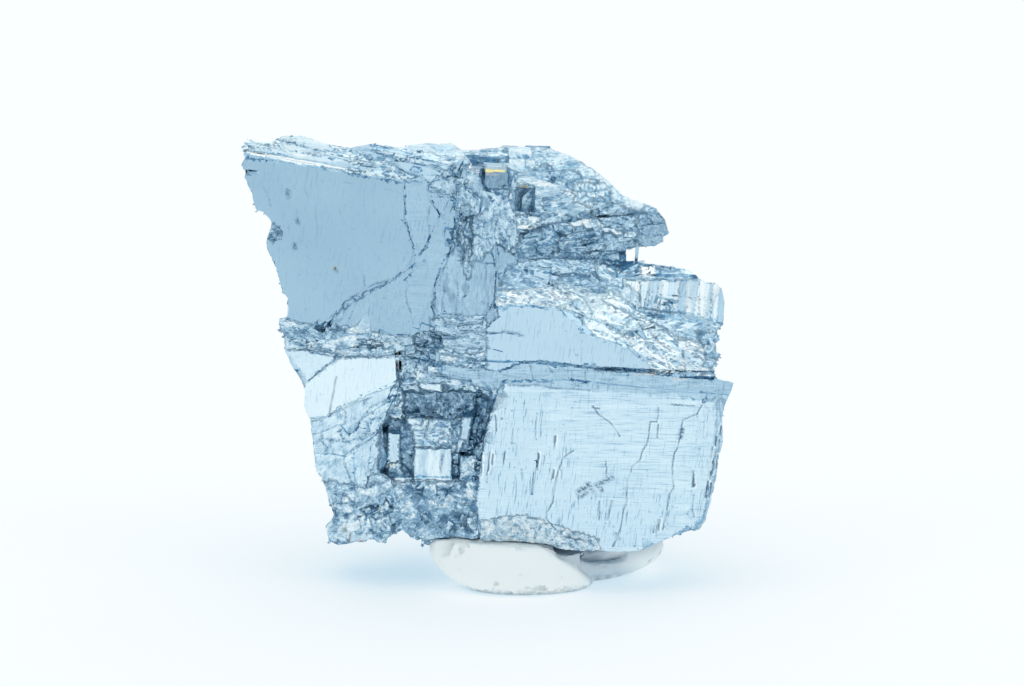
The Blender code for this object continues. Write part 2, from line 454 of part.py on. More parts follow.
def add_plane_trim(collection):
    """A large block, cut by each plane in turn, that the specimen's back and flanks are trimmed to."""
    form = bmesh.new()
    bmesh.ops.create_cube(form, size=REACH * MM)
    for point, outward in TRIM_PLANES.values():
        cut = bmesh.ops.bisect_plane(form, geom=form.verts[:] + form.edges[:] + form.faces[:],
                                     plane_co=Vector(point) * MM, plane_no=Vector(outward),
                                     clear_outer=True)
        rim = [part for part in cut["geom_cut"] if isinstance(part, bmesh.types.BMEdge)]
        bmesh.ops.edgeloop_fill(form, edges=rim)
    return add_bmesh_object("plane_trim", form, collection)


def reach_at(height):
    """How far right the nose reaches at a height, between the heights in its table."""
    for (z0, x0), (z1, x1) in zip(NOSE_REACH, NOSE_REACH[1:]):
        if height <= z1:
            return x0 + (x1 - x0) * max(0.0, height - z0) / (z1 - z0)
    return NOSE_REACH[-1][1]


def add_nose(collection, rng):
    """The nose's sheets, from the lowest up. Their fronts lean back as they rise."""
    step = (NOSE_TOP - NOSE_BOTTOM) / NOSE_SHEETS
    for i in range(NOSE_SHEETS):
        height = NOSE_BOTTOM + (i + 0.5) * step
        rise = (i + 0.5) / NOSE_SHEETS
        front = -6.2 + 5.4 * rise ** 1.5 + rng.uniform(-0.35, 0.35)
        end = reach_at(height)
        outline = [(2.0, front), (end * 0.5, front + 0.5), (end - 4.6, front + 1.5), (end - 1.6, front + 3.6),
                   (end, front + 5.6), (end - 0.4, 5.0), (end - 3.2, 6.4), (2.0, 7.0)]
        mesh = prism_mesh(f"nose_sheet_{i}", broken_outline(outline, 0.3, rng), step * NOSE_OVERLAP)
        lean = turned([rng.uniform(-2, 2), rng.uniform(-1, 1), 0]).to_matrix().to_4x4()
        mesh.transform(Matrix.Translation(Vector((0, 0, height)) * MM) @ lean)
        add_mesh_object(f"nose_sheet_{i}", mesh, collection)


def add_nose_posts(collection):
    """The thin posts that still bridge the gap under the nose."""
    bottom, top = NOSE_POST_SPAN
    for i, (x, y, width, lean) in enumerate(NOSE_POSTS):
        add_block(f"nose_post_{i}", (x, y, (bottom + top) / 2), (width, 1.0, top - bottom),
                  turned((0, lean, 0)), collection)


def add_ribs(collection, rng):
    """Upright ribs on the face of the rib block, each turned a little to the left or right."""
    left, right = 12.4, 21.6
    x = left
    i = 0
    while x < right:
        width = rng.uniform(0.45, 1.0)
        share = (x - left) / (right - left)
        bottom = 25.2 - 1.0 * share
        top = 28.6 - 0.6 * share ** 2
        centre = (x + width / 2, -4.6 + 0.3 * share + rng.uniform(-0.16, 0.16), (bottom + top) / 2)
        turn = turned((0, rng.uniform(3, 9), rng.uniform(-16, 16)))
        add_block(f"rib_{i}", centre, (width * 1.15, 1.3, top - bottom), turn, collection)
        x += width
        i += 1


def ray_onto(side, across, up):
    """The start and direction of a ray that meets the specimen from the named side."""
    rays = {
        "front": ((across, -REACH, up), (0, 1, 0)),
        "back": ((across, REACH, up), (0, -1, 0)),
        "left": ((-REACH, across, up), (1, 0, 0)),
        "right": ((REACH, across, up), (-1, 0, 0)),
        "top": ((across, up, REACH), (0, 0, -1)),
        "under": ((across, up, -REACH), (0, 0, 1)),
    }
    start, direction = rays[side]
    return Vector(start) * MM, Vector(direction)


def add_crumbs(name, zone, surface, collection, rng):
    """Small blocky crystals seated on the surface at random, each turned a little from the cleavage."""
    side, across, up, count, sizes, proportions, turn = zone
    for i in range(count):
        start, direction = ray_onto(side, rng.uniform(*across), rng.uniform(*up))
        hit = surface.ray_cast(start, direction)[0]
        size = [rng.uniform(*sizes) * share for share in proportions]
        angles = [rng.uniform(-turn, turn) for _ in range(3)]
        if hit:
            centre = hit / MM + direction * SEAT_DEPTH * min(size)
            add_block(f"{name}_crumb_{i}", centre, size, turned(angles), collection)


def add_boolean(obj, name, operation, operand):
    """A Boolean modifier with one object, or with a collection of them."""
    modifier = obj.modifiers.new(name, "BOOLEAN")
    modifier.operation = operation
    modifier.solver = "EXACT"
    if isinstance(operand, bpy.types.Collection):
        modifier.operand_type = "COLLECTION"
        modifier.collection = operand
    else:
        modifier.object = operand


def finish(name, color, roughness, metallic):
    """A plain material of one finish."""
    material = bpy.data.materials.new(name)
    material.use_nodes = True
    shader = material.node_tree.nodes["Principled BSDF"]
    shader.inputs["Base Color"].default_value = (*color, 1)
    shader.inputs["Roughness"].default_value = roughness
    shader.inputs["Metallic"].default_value = metallic
    return material


def shells_of(form):
    """The mesh's separate shells, each a list of vertices."""
    left = set(form.verts)
    shells = []
    while left:
        shell = [left.pop()]
        for vert in shell:
            for edge in vert.link_edges:
                other = edge.other_vert(vert)
                if other in left:
                    left.remove(other)
                    shell.append(other)
        shells.append(shell)
    return shells


def make_final(obj):
    """Settles the modifiers into the mesh, and drops flakes that float free or lie sealed inside it."""
    graph = bpy.context.evaluated_depsgraph_get()
    mesh = bpy.data.meshes.new_from_object(obj.evaluated_get(graph))
    form = bmesh.new()
    form.from_mesh(mesh)
    shells = sorted(shells_of(form), key=len)
    for shell in shells[:-1]:
        bmesh.ops.delete(form, geom=shell, context="VERTS")
    form.to_mesh(mesh)
    form.free()
    obj.modifiers.clear()
    obj.data = mesh


def build_crystal(parts, rng):
    """The stibnite: cleaved slabs first, then the breaks and grooves, then the small crystals."""
    slabs = collection_of("crystal_slabs", True)
    crumbs = collection_of("crystal_crumbs", True)
    grooves = collection_of("crystal_grooves", True)
    trims = collection_of("crystal_trims", True)
    crystal = add_slab("stibnite_crystal", BODY_SLABS["core"], parts, rng)
    for group in (UPPER_SLABS, MIDDLE_SLABS, LOWER_SLABS, BODY_SLABS):
        for name, slab in group.items():
            if name != "core":
                add_slab(name, slab, slabs, rng)
    add_nose(slabs, random.Random(NOSE_SEED))
    add_ribs(slabs, rng)
    for name, (centre, size, angles) in CUTS.items():
        add_block(name, centre, size, turned(angles), grooves)
    add_nose_posts(crumbs)
    add_boolean(crystal, "join slabs", "UNION", slabs)
    add_boolean(crystal, "trim to outline", "INTERSECT", add_outline_trim(trims))
    add_boolean(crystal, "trim to planes", "INTERSECT", add_plane_trim(trims))
    add_boolean(crystal, "cut grooves", "DIFFERENCE", grooves)
    bpy.context.view_layer.update()
    surface = BVHTree.FromObject(crystal, bpy.context.evaluated_depsgraph_get())
    for seed, (name, zone) in enumerate(CRUMB_ZONES.items()):
        add_crumbs(name, zone, surface, crumbs, random.Random(seed))
    add_boolean(crystal, "join crumbs", "UNION", crumbs)
    sole_cut = add_block("sole_cut", (5, 0, SOLE_HEIGHT - 5), (22, 30, 10), Euler(), trims)
    add_boolean(crystal, "flat sole", "DIFFERENCE", sole_cut)
    make_final(crystal)
    crystal.data.materials.append(finish("stibnite", (0.46, 0.58, 0.68), 0.22, 1.0))
    return crystal


def build_putty(parts):
    """The putty: three squashed lobes, flat below, pressed flat on top and lipped along the front."""
    lobes = collection_of("putty_lobes", True)
    cutters = collection_of("putty_cutters", True)
    made = []
    for name, (centre, radii, angles) in PUTTY_LOBES.items():
        form = bmesh.new()
        place = Matrix.LocRotScale(Vector(centre) * MM, turned(angles), Vector(radii) * MM)
        bmesh.ops.create_uvsphere(form, u_segments=26, v_segments=12, radius=1.0, matrix=place)
        made.append(add_bmesh_object(name, form, lobes))
    putty = add_mesh_object("mounting_putty", made[0].data.copy(), parts)
    add_boolean(putty, "join lobes", "UNION", lobes)
    floor_cut = add_block("floor_cut", (5, 0, -5), (40, 40, 10), Euler(), cutters)
    add_boolean(putty, "flat base", "DIFFERENCE", floor_cut)
    lip = LOWER_SLABS["big_face"]["face"] - CLEARANCE
    press = add_block("crystal_press", (5, lip + 15, PUTTY_TOP + 5), (40, 30, 10), Euler(), cutters)
    add_boolean(putty, "pressed top", "DIFFERENCE", press)
    rim = add_block("lip_press", (5, -10, LIP_TOP + 5), (40, 40, 10), turned((0, LIP_SLOPE, 0)), cutters)
    add_boolean(putty, "pressed lip", "DIFFERENCE", rim)
    make_final(putty)
    putty.data.materials.append(finish("putty", (0.86, 0.86, 0.82), 0.6, 0.0))
    return putty


def centre_over_origin(objects):
    """Moves the parts together, so that the middle of their box's bottom is at the origin."""
    corners = [vert.co for obj in objects for vert in obj.data.vertices]
    low = Vector([min(corner[axis] for corner in corners) for axis in range(3)])
    high = Vector([max(corner[axis] for corner in corners) for axis in range(3)])
    shift = Matrix.Translation((-(low.x + high.x) / 2, -(low.y + high.y) / 2, -low.z))
    for obj in objects:
        obj.data.transform(shift)


def main():
    clear_scene()
    rng = random.Random(1)
    parts = collection_of("stibnite_specimen", False)
    crystal = build_crystal(parts, rng)
    putty = build_putty(parts)
    centre_over_origin([crystal, putty])


main()
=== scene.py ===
import math

import bmesh
import bpy
import numpy as np
from mathutils import Euler, Matrix, Vector, noise
from mathutils.bvhtree import BVHTree


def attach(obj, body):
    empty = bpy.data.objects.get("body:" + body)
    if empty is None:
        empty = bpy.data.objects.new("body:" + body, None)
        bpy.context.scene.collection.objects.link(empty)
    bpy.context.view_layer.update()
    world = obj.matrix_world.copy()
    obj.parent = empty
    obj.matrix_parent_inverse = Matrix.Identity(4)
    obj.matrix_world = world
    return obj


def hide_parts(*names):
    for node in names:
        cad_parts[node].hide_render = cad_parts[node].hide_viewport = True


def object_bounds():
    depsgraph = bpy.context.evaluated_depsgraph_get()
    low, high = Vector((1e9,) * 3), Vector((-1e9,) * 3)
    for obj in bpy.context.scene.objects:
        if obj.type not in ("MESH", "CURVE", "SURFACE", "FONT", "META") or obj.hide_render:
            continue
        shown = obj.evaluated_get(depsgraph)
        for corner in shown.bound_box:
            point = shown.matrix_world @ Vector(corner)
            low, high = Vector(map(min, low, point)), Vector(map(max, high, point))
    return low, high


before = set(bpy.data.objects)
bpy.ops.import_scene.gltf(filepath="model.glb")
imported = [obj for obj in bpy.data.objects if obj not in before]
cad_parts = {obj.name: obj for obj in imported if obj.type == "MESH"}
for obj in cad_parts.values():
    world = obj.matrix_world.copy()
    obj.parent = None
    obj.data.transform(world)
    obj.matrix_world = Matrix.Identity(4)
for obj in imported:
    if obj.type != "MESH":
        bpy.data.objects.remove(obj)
cadLow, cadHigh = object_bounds()
bpy.ops.object.select_all(action="DESELECT")
print("frame loaded")

mm = 0.001
noise.seed_set(7)  # so that every run breaks the crystal in the same way

# The view, in mm and degrees. The lines of the broken face are drawn on the plane that it looks at.
view = {
    "elevation": 10,
    "distance": 260,
    "aim": (2.14, -8.74, 23.2),
    "lens": 100,
    "sensor": 36,
    "nearest": 1,
    "furthest": 10000,
}

slope = math.radians(view["elevation"])
ahead = np.array((0, math.cos(slope), -math.sin(slope)))
upward = np.array((0, math.sin(slope), math.cos(slope)))
eye = np.array(view["aim"]) - ahead * view["distance"]


def makeCamera():
    bpy.ops.object.camera_add(location=Vector(eye) * mm, rotation=(math.radians(90) - slope, 0, 0))
    camera = bpy.context.object
    camera.name = "camera"
    camera.data.lens = view["lens"]
    camera.data.sensor_width = view["sensor"]
    camera.data.clip_start = view["nearest"] * mm
    camera.data.clip_end = view["furthest"] * mm
    bpy.context.scene.camera = camera


makeCamera()


def fromHex(code):
    # sRGB hex to the linear colour that a shader takes
    parts = [int(code[i : i + 2], 16) / 255 for i in (0, 2, 4)]
    return (*(p / 12.92 if p <= 0.04045 else ((p + 0.055) / 1.055) ** 2.4 for p in parts), 1)


def greys(levels):
    # a ramp's stops from positions and brightnesses
    return [(position, (level, level, level, 1)) for position, level in levels]


def addNode(tree, kind, settings=None, links=None, stops=None):
    # a node, its settings, what is linked to it and a ramp's stops; a linked node gives its first output
    node = tree.nodes.new("ShaderNode" + kind)
    for name, value in (settings or {}).items():
        if isinstance(name, int) or name in node.inputs:
            node.inputs[name].default_value = value
        else:
            setattr(node, name, value)
    for name, source in (links or {}).items():
        output = source if isinstance(source, bpy.types.NodeSocket) else source.outputs[0]
        tree.links.new(output, node.inputs[name])
    if stops:
        elements = node.color_ramp.elements
        elements.remove(elements[1])
        elements[0].position, elements[0].color = stops[0]
        for position, colour in stops[1:]:
            elements.new(position).color = colour
    return node


def newMaterial(name):
    material = bpy.data.materials.new(name)
    material.use_nodes = True
    material.node_tree.nodes.clear()
    return material, material.node_tree


# The table, in m, and the tent's light: paper is what the plates mirror, shade its dark patches, and roof
# how many times brighter than paper the roof is. Above runs from straight down to straight up, around from
# behind by the left, the front and the right, and the lighter of the two shows.
studio = {
    "table": "d8baa0",
    "tableSize": 6,
    "tableRoughness": 0.9,
    "glow": "c0e6ff",
    "glowStrength": 0.66,
    "backdrop": "fafeff",
    "paper": "f4fbfd",
    "haze": "aecde1",
    "shade": "5b83a2",
    "roof": 1.25,
    "above": [(0, "paper"), (0.6, "paper"), (0.66, "haze"), (0.7, "shade"), (0.75, "shade"), (0.79, "haze"),
              (0.84, "paper"), (0.9, "roof")],
    "around": [(0, "paper"), (0.2, "haze"), (0.23, "shade"), (0.27, "shade"), (0.3, "roof"), (0.36, "paper"),
               (0.4, "shade"), (0.6, "shade"), (0.64, "paper"), (0.7, "roof"), (0.73, "shade"),
               (0.77, "shade"), (0.8, "haze"), (1, "paper")],
}


def makeRoom():
    # A white tent round the specimen. Blue-grey patches under its roof, in front and at either side, turn
    # small facets dark, and its roof and two bright strips turn others white. Large faces stay even.
    world = bpy.data.worlds.new("studio")
    bpy.context.scene.world = world
    world.use_nodes = True
    tree = world.node_tree
    tree.nodes.clear()
    colours = {name: fromHex(studio[name]) for name in ("paper", "haze", "shade")}
    colours["roof"] = (*(studio["roof"] * part for part in colours["paper"][:3]), 1)
    place = addNode(tree, "TexCoord")
    parts = addNode(tree, "SeparateXYZ", links={0: place.outputs["Generated"]})
    x, y, z = parts.outputs
    height = addNode(tree, "Math", {"operation": "MULTIPLY_ADD", 1: 0.5, 2: 0.5}, {0: z})
    backward = addNode(tree, "Math", {"operation": "MULTIPLY", 1: -1}, {0: y})
    turn = addNode(tree, "Math", {"operation": "ARCTAN2"}, {0: x, 1: backward})
    around = addNode(tree, "Math", {"operation": "MULTIPLY_ADD", 1: 0.5 / math.pi, 2: 0.5}, {0: turn})
    above, beside = (
        addNode(tree, "ValToRGB", links={0: way}, stops=[(at, colours[name]) for at, name in studio[key]])
        for key, way in (("above", height), ("around", around)))
    lit = addNode(tree, "Mix", {"data_type": "RGBA", "blend_type": "LIGHTEN", "Factor": 1},
                  {6: above, 7: beside})
    room = addNode(tree, "Background", links={0: lit.outputs[2]})
    seen = addNode(tree, "Background", {0: fromHex(studio["backdrop"])})
    ray = addNode(tree, "LightPath")
    both = addNode(tree, "MixShader", links={0: ray.outputs["Is Camera Ray"], 1: room, 2: seen})
    addNode(tree, "OutputWorld", links={0: both})


def makeTable():
    # White acrylic lit from below. Its glow is cooler than the light on it, so shadows stay pale and blue
    bpy.ops.mesh.primitive_plane_add(size=studio["tableSize"])
    table = bpy.context.object
    table.name = "table"
    material, tree = newMaterial("white acrylic, lit from below")
    shader = addNode(tree, "BsdfPrincipled", {
        "Base Color": fromHex(studio["table"]), "Roughness": studio["tableRoughness"],
        "Specular IOR Level": 0, "Emission Color": fromHex(studio["glow"]),
        "Emission Strength": studio["glowStrength"]})
    addNode(tree, "OutputMaterial", links={"Surface": shader})
    table.data.materials.append(material)
    bpy.ops.object.select_all(action="DESELECT")


makeRoom()
makeTable()
bpy.context.scene.view_settings.view_transform = "Standard"
print("studio made")

# The crystal's finish: its metal's colour at each brightness, the colour of its cracks, a slow wave over
# the plates in mm, the roughness of a plate and what crumbled ore adds to it, and how squarely a face has
# to look at the view to take a stain or one of the painted highlights listed with the stains
crystal = {
    "metal": [(0, "1c2b3a"), (0.25, "41586c"), (0.4, "607d95"), (0.55, "7a9ab1"), (0.75, "a1c2d7"),
              (0.9, "b9d6e8"), (1, "c8e2f1"), (1.15, "d9eef9"), (1.3, "e7f7fd"), (1.5, "f6fdff")],
    "cleft": "5d7c95",
    "waveSize": 5,
    "wave": 0.02,
    "waveTone": 0.14,
    "gloss": 0.12,
    "dull": 0.12,
    "stainAndGlintFacing": 0.3,
}
# Facets of crumbled ore: cells is how many there are in a grain, levels how many of them are how bright;
# the brightest few are painted glints
facets = {
    "large": {"cells": 1, "relief": 0.09, "contrast": 0.5,
              "levels": [(0, 0), (0.25, 0.35), (0.7, 0.6), (0.88, 0.7), (0.95, 1)]},
    "small": {"cells": 2.7, "relief": 0.05, "contrast": 0.4,
              "levels": [(0, 0), (0.3, 0.4), (0.8, 0.6), (0.9, 1)]},
}
# Marks on the plates: size is how wide they are in mm, length how many times longer, turn which way they
# run, from and to how many show, relief how high they stand in mm and tone how much brighter they are
marks = {
    "striae": {"where": "streak", "turn": 1.5, "length": 22, "size": 0.35, "detail": 3,
               "from": 0.35, "to": 0.65, "relief": 0.01, "tone": 0.13},
    "dashes": {"where": "streak", "turn": 1.5, "length": 16, "size": 0.13, "detail": 2,
               "from": 0.52, "to": 0.7, "relief": 0, "tone": -0.26},
    "scratches": {"where": "wear", "turn": 97, "length": 10, "size": 0.14, "detail": 2,
                  "from": 0.56, "to": 0.72, "relief": 0, "tone": -0.4},
    "specks": {"where": "wear", "turn": 20, "length": 1.4, "size": 0.35, "detail": 4,
               "from": 0.64, "to": 0.74, "relief": -0.01, "tone": -0.45},
}
# How fine the mesh is, in mm
detail = {
    "firstRounds": 3,
    "rounds": 6,
    "hidden": 1.6,  # the longest edge where the view doesn't reach
    "front": 0.5,  # and where it does, outside the surfaces
    "growth": 0.95,  # how much longer an edge may be for each mm from a drawn line
    "reach": 0.9,  # up to this far from it
    "split": 1.4,  # how many times too long an edge has to be to be halved
    "seenDepth": 0.4,  # how far behind what is seen a point still counts as seen
    "seenTurn": -0.2,  # how far it may be turned away
    "seenShare": 0.1,  # a new point between seen and hidden ones counts as seen above this share
    "merge": 0.001,  # points this close are one
    "flat": 0.6,  # faces that meet at less than these degrees are one
}
# How far drawn lines and edges stray and over what distance, in mm, and how lines fade along their way
wander = {"lines": [(0.05, 0.4), (0.12, 1.6)], "edges": (0.16, 0.6), "fade": 0.9, "least": 0.15,
          "usual": 0.75, "most": 1.2}
# Which edges of the plates have chips, from side to edge, how far their sides step back, how deep, many
# and wide the chips are, and how fine the mesh has to be there. Noise is its roughness, spacing and octaves.
chips = {"side": 0.25, "edge": 0.9, "back": 0.06, "deep": 0.14, "share": 0.3, "size": 0.5, "mesh": 0.6,
         "noise": (0.6, 2.1, 2)}
# How wide the joints between blocks are, how much of their lift is height and lean, how steep a terrace's
# bank is, and how near to a surface's level a point has to be, in mm, to be brought to it. Scatter and
# shades only set the blocks' and the terraces' random numbers apart.
cleavage = {"joint": 0.12, "height": 0.3, "lean": 0.5, "scatter": 53.1, "bank": 0.3, "shades": 3.7,
            "noise": (0.7, 2.1, 3), "near": 0.6}
# The lump of ore in the gap beside the crown: its middle and size, in mm, and its turn, in degrees
lump = {"at": (-2.8, -5.6, 38.6), "size": (2.2, 3, 2.4), "turn": (8, 0, 12)}
# The crystal's surfaces, later ones over earlier ones. Edge is a surface's outline, in mm on the plane of
# the view. Tone is how bright its metal is painted, partly the ore's own finish and partly painted light and
# shade in place of how much light each surface mirrors; grain is how crumbled it is, streak and wear how
# much of the marks above it has, and size its grains' length, height and turn. Lift makes little blocks, up
# to this many mm apart in height, blocks grains wide, with joints this dark. Drop makes terraces, this many
# mm deep in all, terraces grains wide, on this many levels. Contrast is how much blocks and terraces differ
# in brightness. Mesh is the longest edge of the mesh, in mm, and crisp the longest along the outline. Level
# is a depth, in mm, that what lies near it is brought to. A ruled outline doesn't stray, and a surface
# inside takes only what is turned away from the view or hidden from it; its high tone is painted light,
# which keeps the insides of slots and gaps from going black.
usual = {"grain": 0, "size": (0.3, 0.3, 0), "streak": 0, "wear": 0, "contrast": 0.2, "joints": 0.3,
         "blocks": 2, "terraces": 3, "levels": 4, "mesh": 1.3}
